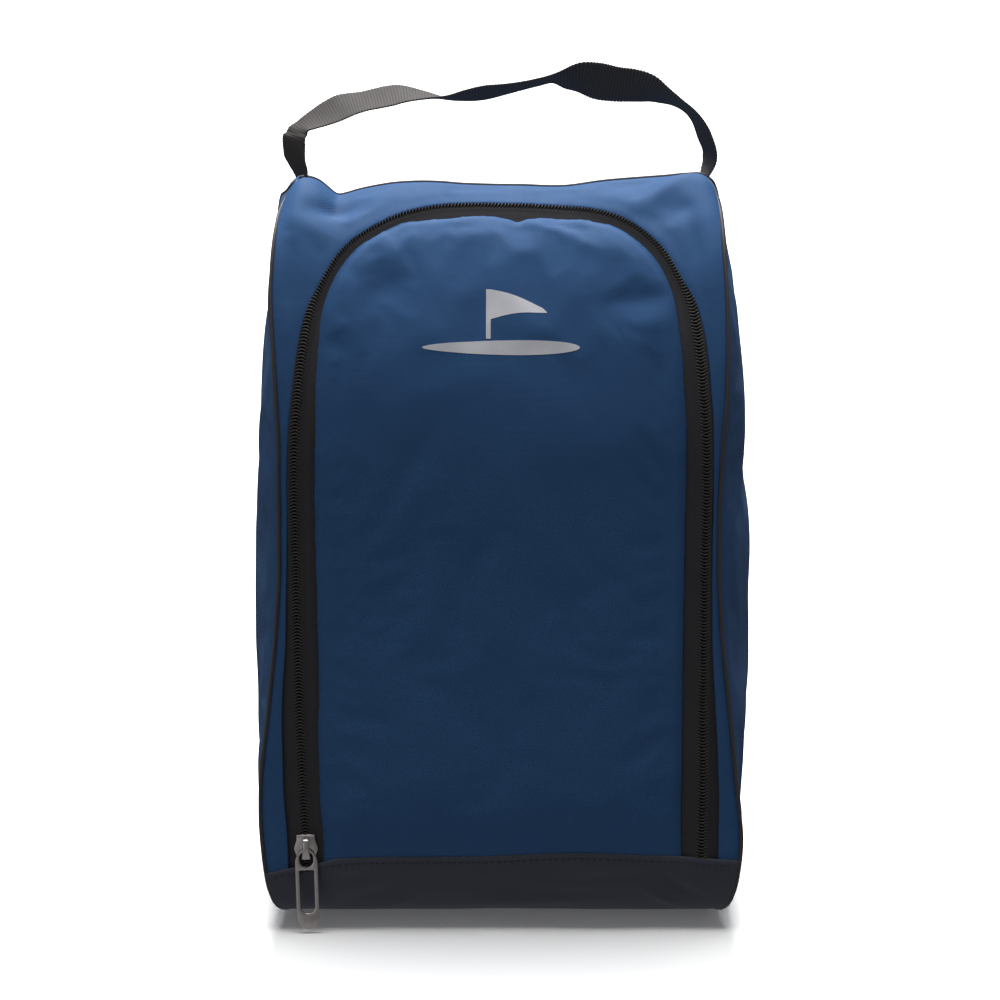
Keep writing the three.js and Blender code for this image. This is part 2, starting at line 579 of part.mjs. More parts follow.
// ------------------------------------------------------------------- handle
{
  const curve = new THREE.CatmullRomCurve3(HANDLE.map(([x, z, r, w]) => new THREE.Vector3(x, 0, z)), false, 'centripetal');
  const n = HANDLE.length, per = 2;
  const stations = (n - 1) * per + 1;
  const lean = (t) => {
    const u = t * (n - 1), i = Math.min(n - 2, Math.floor(u)), f = u - i;
    return [2, 3].map((c) => HANDLE[i][c] + (HANDLE[i + 1][c] - HANDLE[i][c]) * f);
  };
  const g = sweep(stations, (i) => {
    const t = i / (stations - 1);
    const p = curve.getPoint(t), tan = curve.getTangent(t).normalize();
    const [deg, width] = lean(t);
    const side = new THREE.Vector3(0, 1, 0);
    const up = new THREE.Vector3().crossVectors(side, tan).normalize().multiplyScalar(-1);
    const a = deg * Math.PI / 180;
    const w = side.clone().multiplyScalar(Math.cos(a)).addScaledVector(up, -Math.sin(a));
    const h = up.clone().multiplyScalar(Math.cos(a)).addScaledVector(side, Math.sin(a));
    const W = width / 2, T = STRAP_T / 2;
    return [[-W, -T], [W, -T], [W, T], [-W, T]].map(([u, v]) => p.clone().addScaledVector(w, u).addScaledVector(h, v));
  });
  add(bag, 'handle_strap', g, WEB);
}
// the strap's two ends where they come out of the gusset seams
for (const side of [-1, 1]) {
  const g = sheet(3, 5, (i, j, k) => new THREE.Vector3(side * (99.6 + 1.9 * i / 2 + (k ? -STRAP_T : 0)) + 0 * j,
    -12.5 + 25 * j / 4, 357.2 + 2.2 * i / 2 - (j === 0 || j === 4 ? 0.4 * i / 2 : 0)));
  add(bag, side < 0 ? 'handle_end_left' : 'handle_end_right', g, WEB);
}

export default bag;
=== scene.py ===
import math

import bpy
import numpy as np
from mathutils.geometry import delaunay_2d_cdt
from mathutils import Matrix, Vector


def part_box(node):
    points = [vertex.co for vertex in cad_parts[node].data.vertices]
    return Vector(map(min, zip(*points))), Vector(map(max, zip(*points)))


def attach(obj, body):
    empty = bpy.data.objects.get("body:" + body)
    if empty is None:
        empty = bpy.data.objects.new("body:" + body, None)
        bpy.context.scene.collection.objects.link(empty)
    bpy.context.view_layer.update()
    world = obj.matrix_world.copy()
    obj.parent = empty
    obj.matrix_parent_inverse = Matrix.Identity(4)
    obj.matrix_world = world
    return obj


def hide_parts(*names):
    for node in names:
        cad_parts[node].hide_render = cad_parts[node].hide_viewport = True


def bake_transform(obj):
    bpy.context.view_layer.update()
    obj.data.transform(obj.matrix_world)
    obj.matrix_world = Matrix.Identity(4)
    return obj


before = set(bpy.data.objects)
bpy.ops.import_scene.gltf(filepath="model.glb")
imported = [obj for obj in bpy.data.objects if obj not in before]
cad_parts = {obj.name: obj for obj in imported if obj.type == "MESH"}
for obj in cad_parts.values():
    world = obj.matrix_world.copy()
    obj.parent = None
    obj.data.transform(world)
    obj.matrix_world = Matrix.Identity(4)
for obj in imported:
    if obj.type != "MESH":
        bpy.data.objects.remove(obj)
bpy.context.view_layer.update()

MM = 0.001
# ------------------------------------------------------------------ camera
ELEV = math.radians(14.0)
DIST = 3.0
TARGET = (-0.001, 0.0, 0.198)
LENS = 6106.0 / 1000.0 * 36.0

cam_data = bpy.data.cameras.new("camera")
cam = bpy.data.objects.new("camera", cam_data)
bpy.context.scene.collection.objects.link(cam)
cam.location = (TARGET[0], TARGET[1] - DIST * math.cos(ELEV), TARGET[2] + DIST * math.sin(ELEV))
cam.rotation_euler = (math.pi / 2 - ELEV, 0.0, 0.0)
cam_data.sensor_width = 36.0
cam_data.lens = LENS
cam_data.clip_end = 50.0
bpy.context.scene.camera = cam

# ------------------------------------------------------------ small helpers


def smooth_table(tab, k=24):
    """Catmull-Rom through the table's points, as a function of the first column."""
    p = np.array(tab, float)
    q = np.vstack([2 * p[0] - p[1], p, 2 * p[-1] - p[-2]])
    out = []
    for i in range(1, len(q) - 2):
        t = np.linspace(0, 1, k, endpoint=False)[:, None]
        h1, h2 = q[i + 1][0] - q[i][0], q[i + 1][0] - q[i - 1][0]
        h3 = q[i + 2][0] - q[i][0]
        m1 = (q[i + 1] - q[i - 1]) / max(h2, 1e-9) * h1
        m2 = (q[i + 2] - q[i]) / max(h3, 1e-9) * h1
        out.append((2 * t**3 - 3 * t**2 + 1) * q[i] + (t**3 - 2 * t**2 + t) * m1
                   + (-2 * t**3 + 3 * t**2) * q[i + 1] + (t**3 - t**2) * m2)
    out.append(p[-1:])
    a = np.vstack(out)
    a = a[np.argsort(a[:, 0], kind="stable")]
    return lambda v: np.interp(v, a[:, 0], a[:, 1])


def sstep(a, b, v):
    t = np.clip((np.asarray(v, float) - a) / (b - a), 0, 1)
    return t * t * (3 - 2 * t)


def lattice_noise(seed):
    rng = np.random.RandomState(seed)
    g = rng.uniform(-1, 1, (64, 64))

    def f(x, y=0.0):
        x, y = np.broadcast_arrays(np.asarray(x, float), np.asarray(y, float))
        xi, yi = np.floor(x).astype(int), np.floor(y).astype(int)
        u, v = x - xi, y - yi
        u, v = u * u * u * (u * (u * 6 - 15) + 10), v * v * v * (v * (v * 6 - 15) + 10)
        a, b = g[xi % 64, yi % 64], g[(xi + 1) % 64, yi % 64]
        c, d = g[xi % 64, (yi + 1) % 64], g[(xi + 1) % 64, (yi + 1) % 64]
        return (a * (1 - u) + b * u) * (1 - v) + (c * (1 - u) + d * u) * v
    return f


# -------------------------------------------------------- the bag's surface
SEAM_Z, KNEE_Z, APEX_Z, DEPTH = 35.0, 235.0, 356.0, 75.0
S_KNEE = KNEE_Z - SEAM_Z
_th = np.linspace(0, math.pi / 2, 1441)
_ey, _ez = -DEPTH * np.cos(_th), KNEE_Z + (APEX_Z - KNEE_Z) * np.sin(_th)
_arc = np.concatenate([[0], np.cumsum(np.hypot(np.diff(_ey), np.diff(_ez)))])
S_TOP = S_KNEE + _arc[-1]
_bp = np.array([[-75, 35], [-74.4, 27], [-72, 20], [-66, 11.5], [-55, 5.5], [-40, 1.9], [-22, 0], [0, 0]], float)


def _dense(p, n=2000):
    q = np.vstack([2 * p[0] - p[1], p, 2 * p[-1] - p[-2]])
    out = []
    for i in range(1, len(q) - 2):
        t = np.linspace(0, 1, 80, endpoint=False)[:, None]
        out.append(0.5 * ((2 * q[i]) + (-q[i - 1] + q[i + 1]) * t + (2 * q[i - 1] - 5 * q[i] + 4 * q[i + 1] - q[i + 2]) * t**2
                          + (-q[i - 1] + 3 * q[i] - 3 * q[i + 1] + q[i + 2]) * t**3))
    out.append(p[-1:])
    a = np.vstack(out)
    d = np.concatenate([[0], np.cumsum(np.linalg.norm(np.diff(a, axis=0), axis=1))])
    u = np.linspace(0, d[-1], n)
    return np.stack([np.interp(u, d, a[:, k]) for k in range(a.shape[1])], 1), u


_bd, _bu = _dense(_bp)
_bd[:, 1] = np.maximum(_bd[:, 1], 0.0)
BASE_LEN = _bu[-1]


def prof(s):
    """(y, z) of the outer cloth face, s measured up from the base seam."""
    s = np.asarray(s, float)
    y = np.where(s < 0, np.interp(-s, _bu, _bd[:, 0]), np.where(s <= S_KNEE, -DEPTH, np.interp(s - S_KNEE, _arc, _ey)))
    z = np.where(s < 0, np.interp(-s, _bu, _bd[:, 1]), np.where(s <= S_KNEE, SEAM_Z + s, np.interp(s - S_KNEE, _arc, _ez)))
    return y, z


WIDTH_L = smooth_table([[-95, 98], [-70, 99], [-58, 101], [-45, 105], [-30, 109.5], [-14, 113.5], [0, 115.6], [15, 117], [26, 117.4], [40, 117.0], [52, 116],
                        [64.6, 114.4], [86, 111.9], [113, 109.2], [142, 106.7], [160, 105.7], [172, 105.4], [190, 105.4], [207, 105.9], [221.7, 107],
                        [240, 108.4], [255, 109.4], [277, 110.6], [295, 110.8], [309.7, 110.3], [322, 109.4], [329.8, 108.8], [340, 107.4], [347.3, 105.6], [352, 102.9], [356.1, 98.3], [380, 98.3]])
WIDTH_R = smooth_table([[-95, 98], [-70, 99], [-58, 101], [-45, 105], [-30, 109.5], [-14, 113.5], [0, 115.6], [8, 116.3], [16.6, 116.2], [38, 113.8],
                        [60.6, 111.6], [86.3, 108.9], [112, 106.2], [125, 105.2], [142, 104.5], [156, 104.3], [178, 104.4], [208, 105.7], [230, 107.4],
                        [250, 108], [268.7, 107.9], [290, 107.4], [309.7, 107], [323, 106.6], [336, 105.6], [345, 104.2], [352, 101.6], [356.1, 98.3], [380, 98.3]])


_width_l = WIDTH_L


def WIDTH_L(s):
    """The left outline, eased out a little at half height."""
    s = np.asarray(s, float)
    return _width_l(s) + 1.8 * np.exp(-((s - 180.0) / 38.0) ** 2)


def width(side, s):
    return WIDTH_L(s) if side < 0 else WIDTH_R(s)


# height of the top seam along the width
RIDGE = smooth_table([[-110, 348], [-106, 351], [-103, 355], [-100, 358], [-97, 359.4], [-92, 359], [-88, 357.2], [-84, 354], [-80, 350.8], [-76, 351.2], [-70, 353],
                      [-62, 354.8], [-52, 356.4], [-41, 357], [-30, 356.8], [-20, 356], [-5, 355.5], [10, 355.3], [22, 354.8], [32, 355],
                      [49, 357.4], [67, 359], [80, 360], [88, 360.8], [96, 361], [100, 359.5], [103, 357], [106, 352]])


def top_lift(x, s):
    return (RIDGE(x) - APEX_Z) * sstep(292, 357, s) ** 1.6


# soft dents and folds: (x, s, reach along x, reach along s, tilt in degrees, depth)
DENTS = [
    (-79.5, 330.5, 13, 6.2, 18, -2.9), (-66, 345, 10, 4, 10, -0.8), (-92, 316, 12, 5, -35, 0.9), (-100, 322, 5, 16, 0, 0.8),
    (-101, 290, 4.5, 22, 0, -0.8), (80, 341, 22, 5.6, 41, 2.3), (86, 327, 9, 6, 20, -1.7), (92, 308, 4, 14, 8, -1.2), (60, 346, 12, 5, 12, -1.2),
    (98, 345, 6, 6, 0, 1.0), (100, 292, 5, 20, 0, 0.8), (20, 346, 22, 4, 0, 0.4), (-20, 346, 24, 4, 4, -0.4),
]


def dents(x, s, items):
    d = np.zeros(np.broadcast(x, s).shape)
    for cx, cs, rx, rs, tilt, h in items:
        a = math.radians(tilt)
        u = (x - cx) * math.cos(a) + (s - cs) * math.sin(a)
        v = -(x - cx) * math.sin(a) + (s - cs) * math.cos(a)
        d = d + h * np.exp(-(u / rx) ** 2 - (v / rs) ** 2)
    return d


_nf = lattice_noise(11)
_nf2 = lattice_noise(12)


def base_surface(x, s, sign=-1.0):
    """The bag's outer face; sign -1 is the front and +1 the back.  Millimetres."""
    x, s = np.broadcast_arrays(np.asarray(x, float), np.asarray(s, float))
    y, z = prof(s)
    w = np.where(x < 0, WIDTH_L(s), WIDTH_R(s))
    f = np.clip(np.abs(x) / w, 0, 1)
    crown = 2.6 * (1 - f**2) * sstep(-4, 60, s) * (1 - sstep(270, 352, s))
    if sign > 0:
        crown = crown * 1.4
    y = y - crown
    z = z + top_lift(x, s)
    if sign > 0:
        q = S_TOP - s
        z = z - 3.6 * (1 - np.exp(-q / 7.0)) * np.exp(-q / 70.0) * (1 - sstep(80, 97, np.abs(x)))
    return np.stack([x, y if sign < 0 else -y, z], -1)


def surf(x, s, n=0.0, sign=-1.0, h=0.6):
    x, s = np.broadcast_arrays(np.asarray(x, float), np.asarray(s, float))
    p = base_surface(x, s, sign)
    dx = base_surface(x + h, s, sign) - base_surface(x - h, s, sign)
    ds = base_surface(x, np.minimum(s + h, S_TOP), sign) - base_surface(x, s - h, sign)
    nn = np.cross(dx, ds)
    if sign > 0:
        nn = -nn
    nn /= np.maximum(np.linalg.norm(nn, axis=-1, keepdims=True), 1e-9)
    n = np.broadcast_to(np.asarray(n, float), x.shape)
    return p + nn * n[..., None], nn


# ------------------------------------------------------------------ zip line
ZIP = [[-95.0, 0], [-99.2, 165], [-99.5, 190], [-98.8, 216], [-96.9, 240], [-94.5, 259.6], [-91.1, 275.5], [-85.6, 289.7],
       [-78.1, 303.4], [-69.7, 312.6], [-58.2, 320.9], [-46.3, 327.0], [-30.4, 331.7], [-14.5, 333.8], [0, 333.8],
       [23.6, 332.9], [40.9, 329.9], [58.1, 322.5], [70.6, 312.8], [79.2, 301.9], [85.9, 288.8], [90.6, 276.2],
       [93.4, 260.7], [95.2, 243.7], [96.2, 230.9], [97.4, 214.3], [97.9, 188], [97.4, 152.8], [97.2, 112.7], [97.0, 74], [97.2, 36], [96.8, 0]]
_zp, _zu = _dense(np.array([[-94.85, -5.0], ZIP[0], [-95.45, 16.0], [-96.3, 36.0], [-97.4, 64.6], [-98.1, 93.7], [-98.7, 124.0]] + ZIP[1:-1]
                           + [[96.85, 16.0], ZIP[-1], [96.75, -5.0]], float), 6000)
ZLEN = _zu[-1]
_zt = np.gradient(_zp, _zu, axis=0)
_zt /= np.linalg.norm(_zt, axis=1, keepdims=True)


def zip_at(t, d=0.0):
    """(x, s) at length t along the zip and d to its outer side."""
    t, d = np.broadcast_arrays(np.asarray(t, float), np.asarray(d, float))
    x, s = np.interp(t, _zu, _zp[:, 0]), np.interp(t, _zu, _zp[:, 1])
    tx, ts = np.interp(t, _zu, _zt[:, 0]), np.interp(t, _zu, _zt[:, 1])
    return x - ts * d, s + tx * d


T_SH_L = float(np.interp(240, _zp[:3000, 1], _zu[:3000]))       # where the left shoulder begins
T_MID = ZLEN / 2
T_SH_R = ZLEN - float(np.interp(240, _zp[::-1][:3000, 1], ZLEN - _zu[::-1][:3000]))
# cloth edge outside and inside the chain, against length along the zip


def t_near(x, s):
    return float(_zu[np.argmin(np.hypot(_zp[:, 0] - x, _zp[:, 1] - s))])


OUT_EDGE = smooth_table([[-10, 9.4], [9, 9.4], [25, 9.9], [36, 10.3], [51, 10.1], [71, 9.6], [91, 8.7], [110, 7.0], [139, 5.9], [165, 4.9], [195, 4.4],
                         [220, 4.0], [245, 3.3], [265, 2.6], [282, 1.5], [297, 0.8], [330, 0.45], [410, 0.4], [500, 0.4]]
                        + [[ZLEN - 5 - q, d] for q, d in [[315, 0.4], [289, 0.9], [278, 2.6], [268, 3.6], [256, 4.4], [240, 4.5], [200, 4.4], [150, 4.6], [106, 5.2],
                                                          [86, 6.2], [66, 7.3], [46, 8.2], [27, 8.6], [0, 8.8], [-15, 8.8]]])
_wn = lattice_noise(5)
IN_BASE = smooth_table([[-10, 8.6], [13, 8.9], [32, 8.4], [51, 8.6], [71, 9.0], [91, 9.6], [139, 10.0], [205, 9.9], [226, 9.3], [245, 8.3], [264, 7.4],
                        [273, 6.5], [281, 5.7], [296, 5.0], [308, 4.8]]
                       + [[t_near(x, s), d] for x, s, d in [(-70, 312.5, 4.9), (-61, 319, 5.3), (-52, 325, 5.1), (-41, 329.3, 7.0), (-27, 332.4, 9.0), (-18, 333.4, 8.5),
                                                            (-9, 333.8, 8.5), (-1, 333.8, 9.0), (3.5, 333.8, 10.6), (7.6, 333.7, 12.4), (11.5, 333.5, 10.4), (18, 333.2, 9.1), (28, 332.4, 8.6),
                                                            (37, 330.8, 7.6), (46, 328.3, 6.6), (58, 322.6, 6.2), (70.6, 312.8, 6.1), (79, 302, 6.1), (84.5, 292, 6.6)]]
                       + [[ZLEN - 5 - q, d] for q, d in [[278, 8.0], [268, 8.5], [256, 8.4], [240, 9.1], [200, 9.9], [106, 10.2], [46, 10.6], [27, 10.7], [0, 10.2], [-15, 10.2]]])


def in_edge(t):
    """Inner cloth edge, with the small puckers of the eased top."""
    x, s = zip_at(t, -7.0)
    top = sstep(255, 318, s)
    return IN_BASE(t) + (0.16 + 0.30 * top) * _wn(t / 7.0, 3.3) + 0.25 * _wn(t / 23.0, 8.1)


# --------------------------------------------------------------- mesh making
def link(name, verts, faces, mats, mat_index=None, uv=None, smooth=True):
    me = bpy.data.meshes.new(name)
    me.from_pydata((np.asarray(verts) * MM).tolist(), [], [list(map(int, f)) for f in faces])
    for m in mats:
        me.materials.append(m)
    if mat_index is not None:
        me.polygons.foreach_set("material_index", np.asarray(mat_index, np.int32))
    me.polygons.foreach_set("use_smooth", np.full(len(me.polygons), smooth))
    if uv is not None:
        layer = me.uv_layers.new(name="weave")
        loops = np.zeros(len(me.loops), np.int32)
        me.loops.foreach_get("vertex_index", loops)
        layer.data.foreach_set("uv", (np.asarray(uv, float)[loops] * MM).ravel().astype(np.float32))
    me.validate()
    me.update()
    ob = bpy.data.objects.new(name, me)
    bpy.context.scene.collection.objects.link(ob)
    return ob


def inside_poly(p, poly):
    x, y = p[:, 0], p[:, 1]
    c = np.zeros(len(p), bool)
    a, b = poly, np.roll(poly, -1, axis=0)
    for (x1, y1), (x2, y2) in zip(a, b):
        if y1 == y2:
            continue
        hit = (y1 > y) != (y2 > y)
        c ^= hit & (x < (x2 - x1) * (y - y1) / (y2 - y1) + x1)
    return c


def resample(loop, step):
    loop = np.asarray(loop, float)
    q = np.vstack([loop, loop[:1]])
    d = np.concatenate([[0], np.cumsum(np.linalg.norm(np.diff(q, axis=0), axis=1))])
    n = max(8, int(round(d[-1] / step)))
    u = np.linspace(0, d[-1], n, endpoint=False)
    return np.stack([np.interp(u, d, q[:, 0]), np.interp(u, d, q[:, 1])], 1)


def triangulate(loop, h, inner_rings=(), keep=None):
    """Even triangles inside a closed loop.  The loop's points come first, in order."""
    loop = np.asarray(loop, float)
    lo, hi = loop.min(0), loop.max(0)
    ys = np.arange(lo[1] + h / 2, hi[1], h * 0.866)
    pts = []
    for i, yy in enumerate(ys):
        xs = np.arange(lo[0] + (h / 2 if i % 2 else 0), hi[0], h)
        pts.append(np.stack([xs, np.full_like(xs, yy)], 1))
    pts = np.vstack(pts)
    pts = pts[inside_poly(pts, loop)]
    near = np.full(len(pts), 1e9)
    for k in range(0, len(loop), 200):
        dd = np.linalg.norm(pts[:, None, :] - loop[None, k:k + 200, :], axis=2).min(1)
        near = np.minimum(near, dd)
    pts = pts[near > 0.62 * h]
    if keep is not None:
        pts = pts[keep(pts)]
    allp = np.vstack([loop, pts])
    n = len(loop)
    edges = [(i, (i + 1) % n) for i in range(n)]
    vs, _, fs, *_ = delaunay_2d_cdt([tuple(p) for p in allp], edges, [], 1, 1e-6)
    v2 = np.array([tuple(v) for v in vs])
    return v2, np.array([tuple(f) for f in fs if len(f) == 3], int), n


def boundary_loops(tris):
    e = {}
    for a, b, c in tris:
        for u, v in ((a, b), (b, c), (c, a)):
            e[(u, v)] = True
    nxt = {u: v for (u, v) in e if (v, u) not in e}
    loops, seen = [], set()
    for start in list(nxt):
        if start in seen:
            continue
        lp, k = [], start
        while k not in seen and k in nxt:
            seen.add(k)
            lp.append(k)
            k = nxt[k]
        loops.append(lp)
    return loops


def thick_panel(name, v2, tris, pos, nrm, thick, mats, hem=4, uv=None, roll=1.0):
    """A cloth panel with two faces and a rolled edge.  pos is the outer face."""
    pos, nrm = np.asarray(pos, float), np.asarray(nrm, float)
    tris = np.asarray(tris, int)
    # face the triangles outwards
    a, b, c = pos[tris[:, 0]], pos[tris[:, 1]], pos[tris[:, 2]]
    fn = np.cross(b - a, c - a)
    flip = np.einsum("ij,ij->i", fn, nrm[tris[:, 0]]) < 0
    tris[flip] = tris[flip][:, ::-1]
    t = np.broadcast_to(np.asarray(thick, float), (len(pos),))
    n0 = len(pos)
    verts = [pos, pos - nrm * t[:, None]]
    faces = [tuple(f) for f in tris] + [tuple(f[::-1] + n0) for f in tris]
    mi = [0] * len(tris) + [1] * len(tris)
    uvs = [uv if uv is not None else v2, uv if uv is not None else v2]
    count = 2 * n0
    for lp in boundary_loops(tris):
        lp = np.array(lp)
        m = len(lp)
        p, q = pos[lp], pos[lp] - nrm[lp] * t[lp][:, None]
        tang = np.roll(p, -1, 0) - np.roll(p, 1, 0)
        out = np.cross(tang, nrm[lp])
        out /= np.maximum(np.linalg.norm(out, axis=1, keepdims=True), 1e-9)
        mid = (p + q) / 2
        r = t[lp][:, None] / 2
        rings = [lp]
        for k in range(1, hem):
            ang = math.pi * k / hem
            verts.append(mid + nrm[lp] * r * math.cos(ang) + out * r * math.sin(ang) * roll)
            uvs.append((uv if uv is not None else v2)[lp])
            rings.append(np.arange(count, count + m))
            count += m
        rings.append(lp + n0)
        for r0, r1 in zip(rings, rings[1:]):
            for k in range(m):
                k2 = (k + 1) % m
                faces.append((r0[k2], r0[k], r1[k], r1[k2]))
                mi.append(0)
    ob = link(name, np.vstack(verts), faces, mats, mi, np.vstack(uvs))
    return ob


def sweep_mesh(rings, closed=False, caps=True):
    """Quads between equal rings of points (n, m, 3)."""
    rings = np.asarray(rings, float)
    n, m = rings.shape[:2]
    faces = []
    last = n if closed else n - 1
    for i in range(last):
        i2 = (i + 1) % n
        for j in range(m):
            j2 = (j + 1) % m
            faces.append((i * m + j, i * m + j2, i2 * m + j2, i2 * m + j))
    if not closed and caps:
        faces.append(tuple(range(m))[::-1])
        faces.append(tuple((n - 1) * m + j for j in range(m)))
    return rings.reshape(-1, 3), faces


def fix_normals(ob):
    import bmesh
    bm = bmesh.new()
    bm.from_mesh(ob.data)
    bmesh.ops.recalc_face_normals(bm, faces=bm.faces)
    bm.to_mesh(ob.data)
    bm.free()
    ob.data.update()


# ----------------------------------------------------------------- materials
def new_mat(name):
    m = bpy.data.materials.new(name)
    m.use_nodes = True
    nt = m.node_tree
    bsdf = nt.nodes["Principled BSDF"]
    return m, nt, bsdf


def node(nt, kind, **kw):
    n = nt.nodes.new(kind)
    for k, v in kw.items():
        setattr(n, k, v)
    return n


def weave_coords(nt):
    u = node(nt, "ShaderNodeUVMap")
    u.uv_map = "weave"
    return u.outputs["UV"]


def noise(nt, vec, scale, detail=2.0, rough=0.5):
    n = node(nt, "ShaderNodeTexNoise")
    n.inputs["Scale"].default_value = scale
    n.inputs["Detail"].default_value = detail
    n.inputs["Roughness"].default_value = rough
    if vec is not None:
        nt.links.new(vec, n.inputs["Vector"])
    return n.outputs["Fac"]


def wave(nt, vec, scale, direction="X", distortion=0.0):
    w = node(nt, "ShaderNodeTexWave", wave_type="BANDS", bands_direction=direction)
    w.inputs["Scale"].default_value = scale
    w.inputs["Distortion"].default_value = distortion
    nt.links.new(vec, w.inputs["Vector"])
    return w.outputs["Fac"]


def math_node(nt, op, a, b=None, clamp=False):
    m = node(nt, "ShaderNodeMath", operation=op, use_clamp=clamp)
    for i, v in enumerate((a, b)):
        if v is None:
            continue
        if isinstance(v, (int, float)):
            m.inputs[i].default_value = v
        else:
            nt.links.new(v, m.inputs[i])
    return m.outputs[0]


def mix_color(nt, fac, a, b, blend="MIX"):
    m = node(nt, "ShaderNodeMix", data_type="RGBA", blend_type=blend)
    for sock, v in ((m.inputs[0], fac), (m.inputs[6], a), (m.inputs[7], b)):
        if isinstance(v, (int, float)):
            sock.default_value = v
        elif isinstance(v, (tuple, list)):
            sock.default_value = (*v, 1.0) if len(v) == 3 else v
        else:
            nt.links.new(v, sock)
    return m.outputs[2]


def map_range(nt, v, a, b, c, d):
    m = node(nt, "ShaderNodeMapRange")
    nt.links.new(v, m.inputs[0])
    for i, x in enumerate((a, b, c, d)):
        m.inputs[i + 1].default_value = x
    return m.outputs[0]


def object_coords(nt):
    return node(nt, "ShaderNodeTexCoord").outputs["Object"]


def bump(nt, height, strength, distance, bsdf, prev=None):
    b = node(nt, "ShaderNodeBump")
    b.inputs["Strength"].default_value = strength
    b.inputs["Distance"].default_value = distance
    nt.links.new(height, b.inputs["Height"])
    if prev is not None:
        nt.links.new(prev, b.inputs["Normal"])
    nt.links.new(b.outputs["Normal"], bsdf.inputs["Normal"])
    return b.outputs["Normal"]


def twill(name, color, pitch=0.78, sheen=0.35, sheen_tint=(0.6, 0.75, 1.0), rough=0.62, strength=0.5, spec=0.35, relief_shade=0.22):
    """Fine diagonal weave: warp floats on the diagonal, broken by the weft.  The colour is darker in the weave's low
    points and lighter on its raised points: painted shade and highlight that follow the bump relief.
    """
    m, nt, bsdf = new_mat(name)
    uv = weave_coords(nt)
    mp = node(nt, "ShaderNodeMapping")
    mp.inputs["Rotation"].default_value = (0, 0, math.radians(52))
    nt.links.new(uv, mp.inputs["Vector"])
    k = 0.314159 / (pitch * MM)
    diag = wave(nt, mp.outputs["Vector"], k, "X", 0.35)
    yarn = wave(nt, uv, k * 1.45, "Y", 0.2)
    fine = noise(nt, uv, 2600.0, 2.0, 0.6)
    w1 = math_node(nt, "MULTIPLY", diag, 0.65)
    w2 = math_node(nt, "MULTIPLY", yarn, 0.25)
    w = math_node(nt, "ADD", w1, w2)
    height = math_node(nt, "ADD", w, math_node(nt, "MULTIPLY", fine, 0.35))
    oc = object_coords(nt)
    big = noise(nt, oc, 9.0, 3.0, 0.55)
    mott = noise(nt, oc, 120.0, 3.0, 0.6)
    lint = noise(nt, oc, 900.0, 1.0, 0.5)
    c = tuple(color)
    # painted shade in the weave's low points and painted highlight on its raised points, keyed to the bump height
    dark = tuple(v * (1 - relief_shade) for v in c)
    lite = tuple(min(1, v * (1 + relief_shade) + 0.004) for v in c)
    col = mix_color(nt, height, dark, lite)
    col = mix_color(nt, map_range(nt, big, 0.3, 0.7, 0.0, 0.35), col, tuple(v * 0.86 for v in c))
    col = mix_color(nt, map_range(nt, mott, 0.35, 0.75, 0.0, 0.22), col, tuple(min(1, v * 1.25 + 0.003) for v in c))
    col = mix_color(nt, map_range(nt, lint, 0.74, 0.82, 0.0, 0.25), col, tuple(min(1, v * 1.6 + 0.02) for v in c))
    nt.links.new(col, bsdf.inputs["Base Color"])
    r = map_range(nt, mott, 0.2, 0.8, rough - 0.06, rough + 0.08)
    nt.links.new(r, bsdf.inputs["Roughness"])
    bsdf.inputs["Specular IOR Level"].default_value = spec
    bsdf.inputs["Sheen Weight"].default_value = sheen
    bsdf.inputs["Sheen Roughness"].default_value = 0.45
    bsdf.inputs["Sheen Tint"].default_value = (*sheen_tint, 1)
    prev = bump(nt, height, strength, 0.00012, bsdf)
    crease = noise(nt, oc, 60.0, 4.0, 0.55)
    bump(nt, crease, 0.25, 0.0006, bsdf, prev)
    return m


def ribbed(name, color, pitch=0.55, rough=0.75, strength=0.5, along="X", sheen=0.05, spec=0.25, relief_shade=0.32):
    """Woven tape: fine ribs across with a faint fuzz.  The colour is darker in the rib valleys and lighter on the
    ridges: painted shade and highlight that follow the bump relief.
    """
    m, nt, bsdf = new_mat(name)
    uv = weave_coords(nt)
    k = 0.314159 / (pitch * MM)
    a = wave(nt, uv, k, along, 0.3)
    b = wave(nt, uv, k * 0.8, "Y" if along == "X" else "X", 0.3)
    fz = noise(nt, uv, 2200.0, 2.0, 0.6)
    h = math_node(nt, "ADD", math_node(nt, "MULTIPLY", a, 0.5), math_node(nt, "MULTIPLY", b, 0.3))
    h = math_node(nt, "ADD", h, math_node(nt, "MULTIPLY", fz, 0.3))
    oc = object_coords(nt)
    big = noise(nt, oc, 40.0, 3.0, 0.6)
    # painted shade in the rib valleys and painted highlight on the ridges, keyed to the bump height
    col = mix_color(nt, h, tuple(v * (1 - relief_shade) for v in color), tuple(min(1, v * (1 + relief_shade) + 0.003) for v in color))
    col = mix_color(nt, map_range(nt, big, 0.3, 0.7, 0.0, 0.3), col, tuple(v * 0.75 for v in color))
    nt.links.new(col, bsdf.inputs["Base Color"])
    fz2 = noise(nt, oc, 700.0, 2.0, 0.5)
    nt.links.new(map_range(nt, fz2, 0.2, 0.8, rough - 0.08, rough + 0.08), bsdf.inputs["Roughness"])
    bsdf.inputs["Specular IOR Level"].default_value = spec
    bsdf.inputs["Sheen Weight"].default_value = sheen
    bsdf.inputs["Sheen Roughness"].default_value = 0.5
    bump(nt, h, strength, 0.00012, bsdf)
    return m


